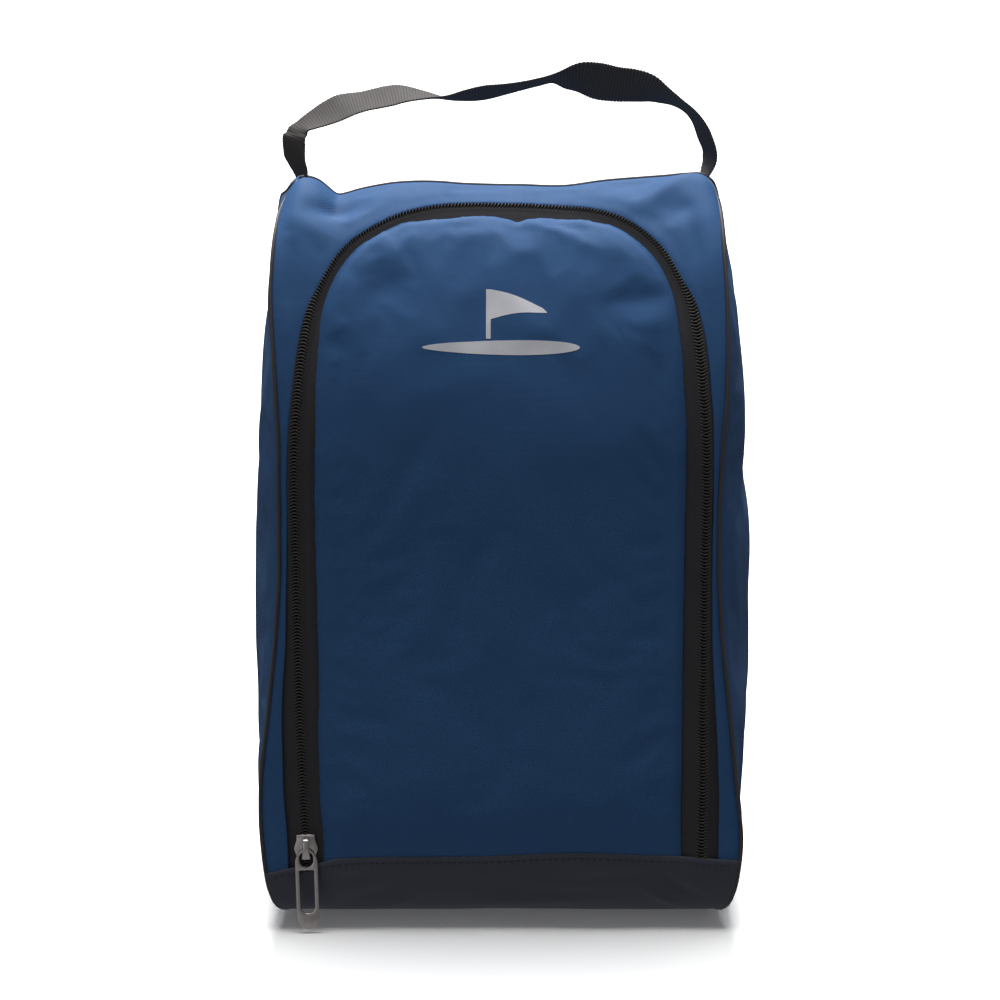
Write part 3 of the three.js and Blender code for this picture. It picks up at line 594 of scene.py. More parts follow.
def metal(name, color, rough=0.3):
    m, nt, bsdf = new_mat(name)
    oc = object_coords(nt)
    mp = node(nt, "ShaderNodeMapping")
    mp.inputs["Scale"].default_value = (1.0, 1.0, 0.12)
    nt.links.new(oc, mp.inputs["Vector"])
    brush = noise(nt, mp.outputs["Vector"], 5200.0, 3.0, 0.6)
    blot = noise(nt, oc, 420.0, 3.0, 0.6)
    col = mix_color(nt, map_range(nt, blot, 0.3, 0.75, 0.0, 1.0), tuple(v * 0.82 for v in color), color)
    nt.links.new(col, bsdf.inputs["Base Color"])
    bsdf.inputs["Metallic"].default_value = 1.0
    nt.links.new(map_range(nt, brush, 0.2, 0.8, rough - 0.06, rough + 0.12), bsdf.inputs["Roughness"])
    bump(nt, brush, 0.12, 0.00005, bsdf)
    return m


def plain(name, color, rough=0.5, spec=0.4, grain=1500.0, strength=0.15, metallic=0.0, vary=0.2):
    m, nt, bsdf = new_mat(name)
    oc = object_coords(nt)
    g = noise(nt, oc, grain, 3.0, 0.6)
    b = noise(nt, oc, grain / 12, 2.0, 0.5)
    col = mix_color(nt, map_range(nt, b, 0.3, 0.7, 0.0, 1.0), tuple(v * (1 - vary) for v in color), tuple(min(1, v * (1 + vary)) for v in color))
    nt.links.new(col, bsdf.inputs["Base Color"])
    nt.links.new(map_range(nt, g, 0.2, 0.8, rough - 0.08, rough + 0.08), bsdf.inputs["Roughness"])
    bsdf.inputs["Specular IOR Level"].default_value = spec
    bsdf.inputs["Metallic"].default_value = metallic
    bump(nt, g, strength, 0.0001, bsdf)
    return m


M_BLUE = twill("blue_twill", (0.031, 0.086, 0.205), sheen=0.02, spec=0.06, relief_shade=0.42, strength=0.8)
M_BASE = twill("dark_base_cloth", (0.055, 0.060, 0.080), sheen=0.05, sheen_tint=(0.8, 0.82, 1.0), relief_shade=0.3, spec=0.12)
M_LINING = twill("lining", (0.03, 0.031, 0.036), pitch=0.5, sheen=0.05, rough=0.5, strength=0.25)
M_TAPE = ribbed("zip_tape", (0.039, 0.038, 0.042), pitch=0.6, spec=0.15, sheen=0.02)
M_WEB = ribbed("webbing", (0.062, 0.057, 0.055), pitch=1.45, strength=0.8, sheen=0.03, spec=0.15, relief_shade=0.5)
M_PIPE = ribbed("piping", (0.052, 0.045, 0.047), pitch=0.5, rough=0.55, strength=0.3, sheen=0.05)
M_COIL = plain("zip_coil", (0.050, 0.045, 0.042), rough=0.5, spec=0.35, grain=4000.0, strength=0.05)
M_METAL = metal("gunmetal", (0.58, 0.535, 0.525))
M_THREAD = ribbed("thread", (0.03, 0.03, 0.036), pitch=0.25, strength=0.4)
M_SEAM = ribbed("seam_line", (0.085, 0.07, 0.075), pitch=0.5, strength=0.3)
M_BIND = ribbed("binding", (0.04, 0.04, 0.045), pitch=0.7)
M_BOARD = plain("stiffener", (0.03, 0.03, 0.031), rough=0.55, grain=900.0)


def silver_print():
    m, nt, bsdf = new_mat("silver_print")
    uv = weave_coords(nt)
    mp = node(nt, "ShaderNodeMapping")
    mp.inputs["Rotation"].default_value = (0, 0, math.radians(52))
    nt.links.new(uv, mp.inputs["Vector"])
    d = wave(nt, mp.outputs["Vector"], 0.314159 / (0.78 * MM), "X", 0.4)
    sp = noise(nt, uv, 1600.0, 2.0, 0.6)
    h = math_node(nt, "ADD", math_node(nt, "MULTIPLY", d, 0.6), math_node(nt, "MULTIPLY", sp, 0.4))
    oc = object_coords(nt)
    big = noise(nt, oc, 60.0, 2.0, 0.5)
    # the silver is darker in the weave's low points and lighter on its raised points: painted shade and highlight
    # keyed to the bump height
    col = mix_color(nt, h, (0.64, 0.64, 0.69), (0.92, 0.92, 0.97))
    col = mix_color(nt, map_range(nt, big, 0.3, 0.7, 0.0, 0.25), col, (0.5, 0.52, 0.58))
    nt.links.new(col, bsdf.inputs["Base Color"])
    bsdf.inputs["Metallic"].default_value = 0.35
    bsdf.inputs["Roughness"].default_value = 0.42
    bump(nt, h, 0.3, 0.00008, bsdf)
    return m


M_PRINT = silver_print()

# --------------------------------------------------------- cloth simulation


def settle(ob, pin, frames=16, pressure=0.0, shrink=-0.012, cap=3.5, bend=0.6, quality=6, mass=0.2):
    """Lets a panel's cloth find its own folds between its pinned edges; the
    motion is capped (mm) and the result replaces the mesh's points."""
    me = ob.data
    rest = np.zeros(len(me.vertices) * 3)
    me.vertices.foreach_get("co", rest)
    rest = rest.reshape(-1, 3)
    vg = ob.vertex_groups.new(name="pin")
    for i, w in enumerate(pin):
        if w > 0:
            vg.add([i], float(w), "REPLACE")
    md = ob.modifiers.new("cloth", "CLOTH")
    st = md.settings
    st.quality = quality
    st.mass = mass
    st.tension_stiffness = 18
    st.compression_stiffness = 14
    st.shear_stiffness = 6
    st.bending_stiffness = bend
    st.tension_damping = st.compression_damping = 12
    st.bending_damping = 1.0
    st.air_damping = 4
    st.vertex_group_mass = "pin"
    st.pin_stiffness = 1.0
    st.shrink_min = shrink
    st.effector_weights.gravity = 0.0
    if pressure:
        st.use_pressure = True
        st.uniform_pressure_force = pressure
    md.collision_settings.use_collision = False
    md.collision_settings.use_self_collision = False
    md.point_cache.frame_start = 1
    md.point_cache.frame_end = frames
    sc = bpy.context.scene
    for f in range(1, frames + 1):
        sc.frame_set(f)
    dg = bpy.context.evaluated_depsgraph_get()
    ev = ob.evaluated_get(dg)
    now = np.zeros(len(me.vertices) * 3)
    ev.data.vertices.foreach_get("co", now)
    now = now.reshape(-1, 3)
    ob.modifiers.remove(md)
    ob.vertex_groups.remove(vg)
    sc.frame_set(1)
    d = now - rest
    bad = ~np.isfinite(d).all(1)
    d[bad] = 0
    ln = np.linalg.norm(d, axis=1, keepdims=True)
    lim = cap * MM
    d = d / np.maximum(ln, 1e-12) * (lim * np.tanh(ln / lim))
    me.vertices.foreach_set("co", (rest + d).ravel())
    me.update()


def sheet_object(name, pos, tris, nrm):
    """The bare single-layer mesh used for settling, facing outwards."""
    pos = np.asarray(pos, float)
    tris = np.array(tris, int)
    a, b, c = pos[tris[:, 0]], pos[tris[:, 1]], pos[tris[:, 2]]
    flip = np.einsum("ij,ij->i", np.cross(b - a, c - a), nrm[tris[:, 0]]) < 0
    tris[flip] = tris[flip][:, ::-1]
    me = bpy.data.meshes.new(name)
    me.from_pydata((pos * MM).tolist(), [], tris.tolist())
    ob = bpy.data.objects.new(name, me)
    bpy.context.scene.collection.objects.link(ob)
    return ob, tris


def settled(name, pos, nrm, tris, pin, **kw):
    """Positions (mm) and fresh normals after the cloth has settled."""
    ob, tr = sheet_object(name + "_settle", pos, tris, nrm)
    settle(ob, pin, **kw)
    out = np.zeros(len(ob.data.vertices) * 3)
    ob.data.vertices.foreach_get("co", out)
    out = out.reshape(-1, 3) / MM
    me = ob.data
    bpy.data.objects.remove(ob)
    bpy.data.meshes.remove(me)
    fn = np.cross(out[tr[:, 1]] - out[tr[:, 0]], out[tr[:, 2]] - out[tr[:, 0]])
    vn = np.zeros_like(out)
    for k in range(3):
        np.add.at(vn, tr[:, k], fn)
    vn /= np.maximum(np.linalg.norm(vn, axis=1, keepdims=True), 1e-9)
    return out, vn


# ---------------------------------------------------------------- base seam
SEAM = smooth_table([[-118, -7], [-112, -5.5], [-104, -3.6], [-96, -2.2], [-88, -0.6], [-80, 1.4], [-62, 2.2], [-45, 2.5], [-20, 2.6], [-6, 2.8], [14, 3.8], [33, 4.6],
                     [46, 4.4], [54, 4.0], [70, 3.3], [87, 2.7], [101, 1.4], [112, 0.8], [118, 0.4]])

# ----------------------------------------------------------------- the door
DOOR_N = 0.25          # the door's cloth stands this far off the shell
DOOR_DENTS = [
    (-54, 285, 14, 9.5, 8, -2.9), (-74, 283, 8, 12, 30, 1.2), (-47, 317, 9, 4.0, 24, -1.3), (-81, 257.5, 6, 4.2, -12, -1.6), (-78, 266, 8, 5, -12, 0.8),
    (-33, 262, 15, 9, -14, 1.2), (-30, 300, 18, 9, -12, -0.9), (8, 316, 7, 6, 0, -1.6), (19, 317.5, 13, 2.6, -18, 1.3), (35, 316.4, 10, 3.2, -10, -1.5),
    (36, 309, 18, 4, -22, 0.9), (66, 279.5, 17, 6.2, 6, -3.6), (76, 268, 12, 6, 4, 1.0), (46, 296, 20, 7, -16, -1.0), (-12, 312, 12, 5, 0, 0.9),
    (-22, 317, 8, 3, -8, -0.9), (56, 306, 12, 5, -34, 0.8), (74, 240, 7, 16, 0, -0.8), (-80, 225, 5, 22, 0, -0.9), (-78, 120, 7, 40, 3, -1.0),
    (78, 130, 7, 46, -3, -0.8), (-40, 40, 30, 10, 12, 0.7), (40, 32, 34, 9, -8, 0.6), (0, 180, 40, 26, 0, 0.6), (-30, 236, 26, 9, 16, 0.8), (20, 246, 30, 8, -12, -0.7),
    (50, 210, 24, 10, 14, 0.6), (-46, 205, 22, 9, -14, -0.6), (52, 258, 22, 7, 10, 0.7), (10, 276, 26, 7, -6, -0.6),
]


def build_door():
    t = np.linspace(2, ZLEN - 2, 520)
    e = in_edge(t)
    x, s = zip_at(t, -e)
    ok = s > SEAM(x) + 1.0
    x, s = x[ok], s[ok]
    low = np.linspace(x[-1], x[0], 90)
    bottom = np.stack([low, SEAM(low) - 3.0], 1)
    loop = np.vstack([np.stack([x, s], 1), bottom])
    loop = resample(loop, 2.0)
    v2, tris, n = triangulate(loop, 2.3)
    X, S = v2[:, 0], v2[:, 1]
    # distance to the sewn edge
    sx, ss = zip_at(t, -e)
    dist = np.full(len(v2), 1e9)
    where = np.zeros(len(v2))
    for k in range(0, len(sx), 130):
        dd = np.hypot(X[:, None] - sx[None, k:k + 130], S[:, None] - ss[None, k:k + 130])
        j = dd.argmin(1)
        m = dd[np.arange(len(v2)), j]
        better = m < dist
        dist[better] = m[better]
        where[better] = t[k:k + 130][j[better]]
    seam_d = S - SEAM(X)
    puff = 1.9 * (1 - np.exp(-dist / 7.0)) * sstep(-2, 26, seam_d)
    edge = -1.5 * np.exp(-(dist / 1.8) ** 2)
    top = sstep(262, 322, S)
    puck = (0.35 + 0.75 * top) * _wn(where / 8.5, 1.7) * np.exp(-dist / (7 + 7 * top)) * sstep(0.5, 3.0, dist)
    puck = puck + 0.25 * _wn(where / 15.0, 9.2) * np.exp(-dist / 22)
    swell = 0.55 * _nf(X / 46.0, S / 60.0) + 0.22 * _nf2(X / 19.0, S / 24.0)
    d = DOOR_N + puff + edge + puck + (swell + dents(X, S, DOOR_DENTS)) * (1 - np.exp(-dist / 9.0)) * sstep(0, 18, seam_d)
    d = np.where(seam_d < 3, d * sstep(-3, 3, seam_d) - 0.5 * (1 - sstep(-3, 3, seam_d)), d)
    pos, nrm = surf(X, S, d)
    pin = 1.0 - sstep(3.0, 12.0, dist)
    pin = np.maximum(pin, 1.0 - sstep(2, 14, seam_d))
    pos, nrm = settled("door", pos, nrm, tris, pin, frames=12, pressure=0.25, shrink=-0.0035, cap=1.0, bend=4.0)
    # remember the settled shape for what is printed on the door
    ob = thick_panel("door_panel_cloth", v2, tris, pos, nrm, 1.8, [M_BLUE, M_LINING], hem=5, roll=1.0)
    return ob, v2, pos, nrm, tris


door_ob, door_v2, door_pos, door_nrm, door_tris = build_door()
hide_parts("door_panel", "door_hinge_strip")
FOLD = (0.0, -0.075, 0.0525)
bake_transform(door_ob)


def on_door(x, s, n):
    """A point above the settled door, found on its triangles."""
    from mathutils.bvhtree import BVHTree
    flat = [(float(a), float(b), 0.0) for a, b in door_v2]
    tree = BVHTree.FromPolygons(flat, [tuple(map(int, f)) for f in door_tris])
    out, nn = [], []
    for a, b in zip(x, s):
        hit, _, idx, _ = tree.find_nearest((float(a), float(b), 0.0))
        f = door_tris[idx]
        A, B, C = door_v2[f[0]], door_v2[f[1]], door_v2[f[2]]
        den = (B[1] - C[1]) * (A[0] - C[0]) + (C[0] - B[0]) * (A[1] - C[1])
        u = ((B[1] - C[1]) * (a - C[0]) + (C[0] - B[0]) * (b - C[1])) / den
        v = ((C[1] - A[1]) * (a - C[0]) + (A[0] - C[0]) * (b - C[1])) / den
        w = 1 - u - v
        p = door_pos[f[0]] * u + door_pos[f[1]] * v + door_pos[f[2]] * w
        q = door_nrm[f[0]] * u + door_nrm[f[1]] * v + door_nrm[f[2]] * w
        q = q / np.linalg.norm(q)
        out.append(p + q * n)
        nn.append(q)
    return np.array(out), np.array(nn)


# ------------------------------------------------------------- front surround
def build_surround():
    t = np.linspace(2, ZLEN - 2, 560)
    x, s = zip_at(t, OUT_EDGE(t) + 0.12 * _wn(t / 9.0, 4.4) + 0.15 * _wn(t / 31.0, 6.4))
    ok = s > SEAM(x) + 1.0
    x, s, tt = x[ok], s[ok], t[ok]
    inner = np.stack([x, s], 1)                       # left foot, over, to right foot
    ss = np.linspace(S_TOP - 0.4, SEAM(115) - 3.0, 170)
    right = np.stack([WIDTH_R(ss) - 0.9, ss], 1)[::-1]  # up the right side
    left = np.stack([-(WIDTH_L(ss[::-1]) - 0.9), ss[::-1]], 1)[::-1]
    xt = np.linspace(WIDTH_R(S_TOP) - 0.9, -(WIDTH_L(S_TOP) - 0.9), 100)[1:-1]
    top = np.stack([xt, np.full_like(xt, S_TOP - 0.4)], 1)
    rb = np.linspace(inner[-1, 0], right[0, 0], 12)[1:-1]
    lb = np.linspace(left[-1, 0], inner[0, 0], 12)[1:-1]
    loop = np.vstack([inner, np.stack([rb, SEAM(rb) - 3.0], 1), right, top, left, np.stack([lb, SEAM(lb) - 3.0], 1)])
    loop = resample(loop, 1.9)
    v2, tris, n = triangulate(loop, 2.3)
    X, S = v2[:, 0], v2[:, 1]
    dist = np.full(len(v2), 1e9)
    where = np.zeros(len(v2))
    for k in range(0, len(x), 130):
        dd = np.hypot(X[:, None] - x[None, k:k + 130], S[:, None] - s[None, k:k + 130])
        j = dd.argmin(1)
        m = dd[np.arange(len(v2)), j]
        better = m < dist
        dist[better] = m[better]
        where[better] = tt[k:k + 130][j[better]]
    w = np.where(X < 0, WIDTH_L(S), WIDTH_R(S))
    rim = np.minimum(w - np.abs(X), 200)
    rimtop = S_TOP - S
    edge_lift = 0.55 * np.exp(-(dist / 3.2) ** 2) * sstep(250, 320, S)
    d = edge_lift + 0.9 * (1 - np.exp(-dist / 6)) * (1 - np.exp(-rim / 6)) * sstep(0, 6, rimtop)
    d = d + 0.35 * _wn(where / 13.0, 2.2) * np.exp(-dist / 9) * sstep(0.4, 3, dist)
    d = d + (dents(X, S, DENTS) + 0.5 * _nf(X / 26.0 + 7, S / 30.0)) * sstep(0, 7, dist) * sstep(0.0, 6, rim) * sstep(-1, 9, rimtop)
    d = d - 0.8 * np.exp(-(rim / 1.6) ** 2)
    d = np.where(S - SEAM(X) < 4, d * sstep(-3, 4, S - SEAM(X)) - 0.3 * (1 - sstep(-3, 4, S - SEAM(X))), d)
    pos, nrm = surf(X, S, d)
    pin = np.maximum(1.0 - sstep(2.0, 9.0, dist), np.maximum(1.0 - sstep(2, 8, rim), 1.0 - sstep(2, 9, rimtop)))
    pos, nrm = settled("surround", pos, nrm, tris, pin, frames=12, pressure=0.2, shrink=-0.003, cap=0.9, bend=4.0)
    ob = thick_panel("front_surround_cloth", v2, tris, pos, nrm, 1.5, [M_BLUE, M_LINING], hem=5)
    return ob


surround_ob = build_surround()
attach(surround_ob, "bag")
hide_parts("front_surround")


# --------------------------------------------------------------- back panel
def build_back():
    ss = np.linspace(S_TOP - 0.4, SEAM(0) - 4.0, 150)
    right = np.stack([WIDTH_R(ss) - 0.9, ss], 1)[::-1]
    left = np.stack([-(WIDTH_L(ss) - 0.9), ss], 1)
    xt = np.linspace(WIDTH_R(S_TOP) - 0.9, -(WIDTH_L(S_TOP) - 0.9), 90)[1:-1]
    xb = np.linspace(left[-1, 0], right[0, 0], 90)[1:-1]
    loop = np.vstack([right, np.stack([xt, np.full_like(xt, S_TOP - 0.4)], 1), left, np.stack([xb, np.full_like(xb, ss[-1])], 1)])
    loop = resample(loop, 2.6)
    v2, tris, n = triangulate(loop, 3.0)
    X, S = v2[:, 0], v2[:, 1]
    w = np.where(X < 0, WIDTH_L(S), WIDTH_R(S))
    rim = w - np.abs(X)
    rimtop = S_TOP - S
    nz = lattice_noise(21)
    d = 1.6 * (1 - np.exp(-rim / 9)) * sstep(0, 12, rimtop) + (0.8 * nz(X / 50.0, S / 44.0) + 0.35 * nz(X / 21.0 + 9, S / 26.0)) * sstep(0, 14, rim) * sstep(0, 14, rimtop)
    d = d + dents(X, S, [(-70, 322, 15, 8, -20, -2.2), (72, 318, 14, 8, 24, -2.0), (0, 330, 40, 9, 0, 0.9), (-40, 210, 34, 8, 18, 0.8), (36, 150, 40, 9, -14, 0.8), (10, 60, 44, 9, 8, 0.7)]) * sstep(0, 10, rim)
    d = d - 0.8 * np.exp(-(rim / 1.6) ** 2)
    pos, nrm = surf(X, S, d, sign=1.0)
    pin = np.maximum(1.0 - sstep(2.0, 12.0, rim), np.maximum(1.0 - sstep(2, 12, rimtop), 1.0 - sstep(2, 12, S - ss[-1])))
    pos, nrm = settled("back", pos, nrm, tris, pin, frames=12, pressure=0.3, shrink=-0.005, cap=1.6, bend=3.0)
    return thick_panel("back_panel_cloth", v2, tris, pos, nrm, 1.7, [M_BLUE, M_LINING], hem=4)


back_ob = build_back()
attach(back_ob, "bag")
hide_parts("back_panel")

# --------------------------------------------------------------- side panels
BULGE_L = smooth_table([[-5, -0.6], [8, -0.2], [20, 0.0], [40, 0.6], [61, 1.4], [77, 2.8], [106, 6.6], [145, 10.4], [199, 13.6], [246, 10.8],
                        [272, 7.8], [296, 3.4], [312, 0.8], [330, -0.8], [350, -0.8], [362, -0.8]])
BULGE_R = smooth_table([[-5, -0.6], [8, -0.4], [20, -0.2], [40, 0.0], [61, 1.0], [82, 5.4], [106, 9.4], [130, 12.0], [170, 15.6], [192, 15.7], [216, 13.6],
                        [247, 11.7], [272, 8.2], [287, 6.2], [302, 4.6], [322, 1.0], [340, -0.6], [350, -0.8], [362, -0.8]])


_bulge_l = BULGE_L


def BULGE_L(z):
    z = np.asarray(z, float)
    return _bulge_l(z) - 1.8 * np.exp(-((z - 215.0) / 38.0) ** 2)


def edge_curve(side, step=260):
    """The gusset's outline on the front half, from the middle of the base past the front foot and up to the top ridge:
    (x, y, z, s).
    """
    s = np.concatenate([np.linspace(-BASE_LEN, 0, 40, endpoint=False), np.linspace(0, S_KNEE, 60, endpoint=False), np.linspace(S_KNEE, S_TOP, 80)])
    w = width(side, s)
    p = base_surface(side * w, s, -1.0)
    return p, s


def side_xyz(side, y, z, n=0.0):
    """The gusset's outer face over its own (y, z)."""
    p, s = edge_curve(side)
    ztab, order = p[:, 2], None
    zz = np.maximum.accumulate(ztab + np.arange(len(ztab)) * 1e-7)
    edge_x = np.interp(z, zz, np.abs(p[:, 0]))
    edge_y = np.interp(z, zz, -p[:, 1])
    f = np.clip(np.abs(y) / np.maximum(edge_y, 1e-3), 0, 1)
    bul = (BULGE_L if side < 0 else BULGE_R)(z)
    shape = (1 - f**2) ** 0.8
    x = edge_x + bul * shape + n
    return np.stack([side * x, y, z], -1), f, edge_y


def build_side(side, name):
    p, s = edge_curve(side)
    inset = 1.0
    yz = p[:, 1:3]
    tang = np.gradient(yz, axis=0)
    nn = np.stack([tang[:, 1], -tang[:, 0]], 1)
    nn /= np.maximum(np.linalg.norm(nn, axis=1, keepdims=True), 1e-9)
    half = yz + nn * inset          # inward
    half = half[half[:, 0] < -0.5]
    back = half[::-1] * np.array([-1, 1])
    loop = resample(np.vstack([half, back]), 2.6)
    v2, tris, n = triangulate(loop, 3.0)
    Y, Z = v2[:, 0], v2[:, 1]
    near = np.full(len(v2), 1e9)
    for k in range(0, len(loop), 150):
        near = np.minimum(near, np.hypot(Y[:, None] - loop[None, k:k + 150, 0], Z[:, None] - loop[None, k:k + 150, 1]).min(1))
    nz = lattice_noise(31 if side < 0 else 33)
    d = (0.9 * nz(Y / 34.0 + 3, Z / 46.0) + 0.4 * nz(Y / 15.0, Z / 22.0 + 5)) * sstep(0, 16, near)
    d = d + dents(Y, Z, [(-38, 250, 7, 34, 8, 1.0), (-20, 90, 9, 50, -6, -1.0), (24, 190, 9, 50, 5, 1.0), (-30, 50, 24, 7, 20, 0.9), (14, 300, 22, 6, -10, -0.9)]) * sstep(0, 14, near)
    pos, f, ey = side_xyz(side, Y, Z)
    pos[:, 0] += side * d
    pos[:, 0] -= side * 0.7 * np.exp(-(near / 2.0) ** 2)
    # normals from the triangles
    tr = tris.copy()
    fn = np.cross(pos[tr[:, 1]] - pos[tr[:, 0]], pos[tr[:, 2]] - pos[tr[:, 0]])
    fl = fn[:, 0] * side < 0
    fn[fl] *= -1
    vn = np.zeros_like(pos)
    for k in range(3):
        np.add.at(vn, tr[:, k], fn)
    vn /= np.maximum(np.linalg.norm(vn, axis=1, keepdims=True), 1e-9)
    pin = 1.0 - sstep(2.0, 12.0, near)
    pos, vn = settled(name, pos, vn, tris, pin, frames=12, pressure=0.25, shrink=-0.004, cap=1.2, bend=3.5)
    return thick_panel(name, v2, tris, pos, vn, 1.5, [M_BLUE, M_LINING], hem=4)


for side, tag in ((-1, "left"), (1, "right")):
    ob = build_side(side, f"side_panel_{tag}_cloth")
    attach(ob, "bag")
    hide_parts(f"side_panel_{tag}")


# --------------------------------------------------------------------- base
BASE_DENTS = [
    (-62, -18, 20, 3.2, 35, -1.95), (-50, -22, 16, 3.0, 30, 1.80), (-76, -12, 10, 6, 30, 1.20), (88, -14, 12, 3, -40, -1.80), (78, -20, 14, 3, -36, 1.50),
    (20, -22, 40, 4, 3, 1.20), (-8, -12, 34, 4, -5, -0.90), (-104, -16, 5, 8, 0, -1.05), (104, -14, 5, 8, 0, -0.90), (40, -10, 26, 4, 8, 0.90),
]


def build_base():
    total = 2 * BASE_LEN
    cols, rows = 120, 120
    us = np.linspace(0, 1, rows)
    xs = np.linspace(-1, 1, cols)
    nz = lattice_noise(41)
    P = np.zeros((rows, cols, 3))
    N = np.zeros((rows, cols, 3))
    UV = np.zeros((rows, cols, 2))
    for i, u in enumerate(us):
        q = u * total
        front = q <= BASE_LEN
        for_s = -q if front else -(total - q)
        wl, wr = WIDTH_L(for_s) - 0.9, WIDTH_R(for_s) - 0.9
        x = np.where(xs < 0, xs * wl, xs * wr)
        top = SEAM(x) if front else np.full_like(x, 1.0)
        # the first and last stretch is pulled so that the edge follows the seam
        k = np.exp(-((q if front else total - q) / 14.0))
        s = np.full_like(x, for_s) + top * k + (0.0)
        rim = np.where(x < 0, wl + x, wr - x)
        d = 0.75 - 0.5 * sstep(0, 30, q if front else total - q)
        d = d + (dents(x, s, BASE_DENTS) if front else 0.7 * nz(x / 30.0, s / 16.0 + 20)) * sstep(0, 8, rim) * sstep(2, 8, q if front else total - q)
        d = d + 0.35 * nz(x / 24.0, q / 12.0) * sstep(0, 10, rim) * sstep(2, 10, q if front else total - q)
        flat = np.exp(-(np.minimum(abs(q - BASE_LEN), 60) / 30.0) ** 4)
        d = d * (1 - flat)
        p, n = surf(x, s, 0.0, -1.0 if front else 1.0)
        if abs(q - BASE_LEN) < 1.2:
            n = np.tile([0.0, 0.0, -1.0], (cols, 1))
        n[:, 0] = 0
        n /= np.linalg.norm(n, axis=1, keepdims=True)
        P[i] = p + n * d[:, None]
        N[i] = n
        UV[i] = np.stack([x, np.full_like(x, q)], 1)
    P[..., 2] = np.maximum(P[..., 2], 0.02)
    v = P.reshape(-1, 3)
    tris = []
    for i in range(rows - 1):
        for j in range(cols - 1):
            a, b, c, d = i * cols + j, i * cols + j + 1, (i + 1) * cols + j + 1, (i + 1) * cols + j
            tris += [(a, b, c), (a, c, d)]
    return thick_panel("base_panel_cloth", UV.reshape(-1, 2), np.array(tris), v, N.reshape(-1, 3), 1.5, [M_BASE, M_LINING], hem=4)


base_ob = build_base()
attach(base_ob, "bag")
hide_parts("base_panel")


# -------------------------------------------------------------- topstitching
def stitches(name, pts, nrm, tang, length=2.2, r=0.22, mat=None):
    verts, faces = [], []
    base = 0
    k, m = 5, 6
    for p, n, t in zip(pts, nrm, tang):
        b = np.cross(n, t)
        for i in range(k):
            u = (i / (k - 1) - 0.5)
            lift = (1 - (2 * u) ** 2) * 0.28 - 0.06
            rr = r * (0.35 + 0.65 * math.sqrt(max(0.0, 1 - (2 * u) ** 4)))
            for j in range(m):
                a = 2 * math.pi * j / m
                verts.append(p + t * (u * length) + n * (lift + rr * math.cos(a)) + b * (rr * math.sin(a)))
        for i in range(k - 1):
            for j in range(m):
                faces.append((base + i * m + j, base + i * m + (j + 1) % m, base + (i + 1) * m + (j + 1) % m, base + (i + 1) * m + j))
        faces.append(tuple(base + j for j in range(m))[::-1])
        faces.append(tuple(base + (k - 1) * m + j for j in range(m)))
        base += k * m
    v = np.array(verts)
    ob = link(name, v, faces, [mat or M_THREAD], uv=v[:, [0, 2]])
    fix_normals(ob)
    return ob


def seam_stitches(name, sign):
    xs = np.arange(-110, 110.5, 3.1)
    s = (SEAM(xs) if sign < 0 else np.full_like(xs, 1.0)) - 2.3
    off = 0.75 + 0.12
    p, n = surf(xs, s, off, sign)
    p2, _ = surf(xs + 1.0, (SEAM(xs + 1.0) if sign < 0 else np.full_like(xs, 1.0)) - 2.3, off, sign)
    t = p2 - p
    t /= np.linalg.norm(t, axis=1, keepdims=True)
    return stitches(name, p, n, t)


for name, sign in (("base_topstitch_front", -1.0), ("base_topstitch_back", 1.0)):
    ob = seam_stitches(name, sign)
    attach(ob, "bag")


# ------------------------------------------------------------------- piping
def build_piping(side, name):
    p, s = edge_curve(side)
    p = p[p[:, 1] < -0.4]
    full = np.vstack([p, p[::-1] * np.array([1, -1, 1])])
    d = np.concatenate([[0], np.cumsum(np.linalg.norm(np.diff(np.vstack([full, full[:1]]), axis=0), axis=1))])
    n = int(d[-1] / 2.2)
    u = np.linspace(0, d[-1], n, endpoint=False)
    q = np.vstack([full, full[:1]])
    c = np.stack([np.interp(u, d, q[:, k]) for k in range(3)], 1)
    for _ in range(2):
        c = (np.roll(c, 1, 0) + 2 * c + np.roll(c, -1, 0)) / 4
    nz = lattice_noise(51)
    tang = np.roll(c, -1, 0) - np.roll(c, 1, 0)
    tang /= np.linalg.norm(tang, axis=1, keepdims=True)
    ax = np.array([1.0, 0, 0]) * side
    out = np.cross(tang, ax) * -side
    out /= np.linalg.norm(out, axis=1, keepdims=True)
    centre = np.array([0, 0, 180.0])
    flip = np.einsum("ij,ij->i", out, c - centre) < 0
    out[flip] *= -1
    r = 0.92 + 0.06 * nz(u / 11.0, 2.0)
    cc = c + out * (-0.15) + ax * (0.05 + 0.12 * nz(u / 17.0, 6.0) - 1.1 * sstep(312, 345, c[:, 2]))[:, None]
    cc[:, 2] = np.maximum(cc[:, 2], 1.35)
    m = 10
    rings = np.zeros((n, m, 3))
    for j in range(m):
        a = 2 * math.pi * j / m
        rings[:, j] = cc + (ax * math.cos(a) + out * math.sin(a)) * r[:, None]
    v, f = sweep_mesh(rings, closed=True)
    uv = np.stack([np.repeat(u, m), np.tile(np.arange(m) * 0.8, n)], 1)
    ob = link(name, v, f, [M_PIPE], uv=uv)
    fix_normals(ob)
    return ob


for side, tag in ((-1, "left"), (1, "right")):
    ob = build_piping(side, f"piping_{tag}_cord")
    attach(ob, "bag")
    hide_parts(f"piping_{tag}")


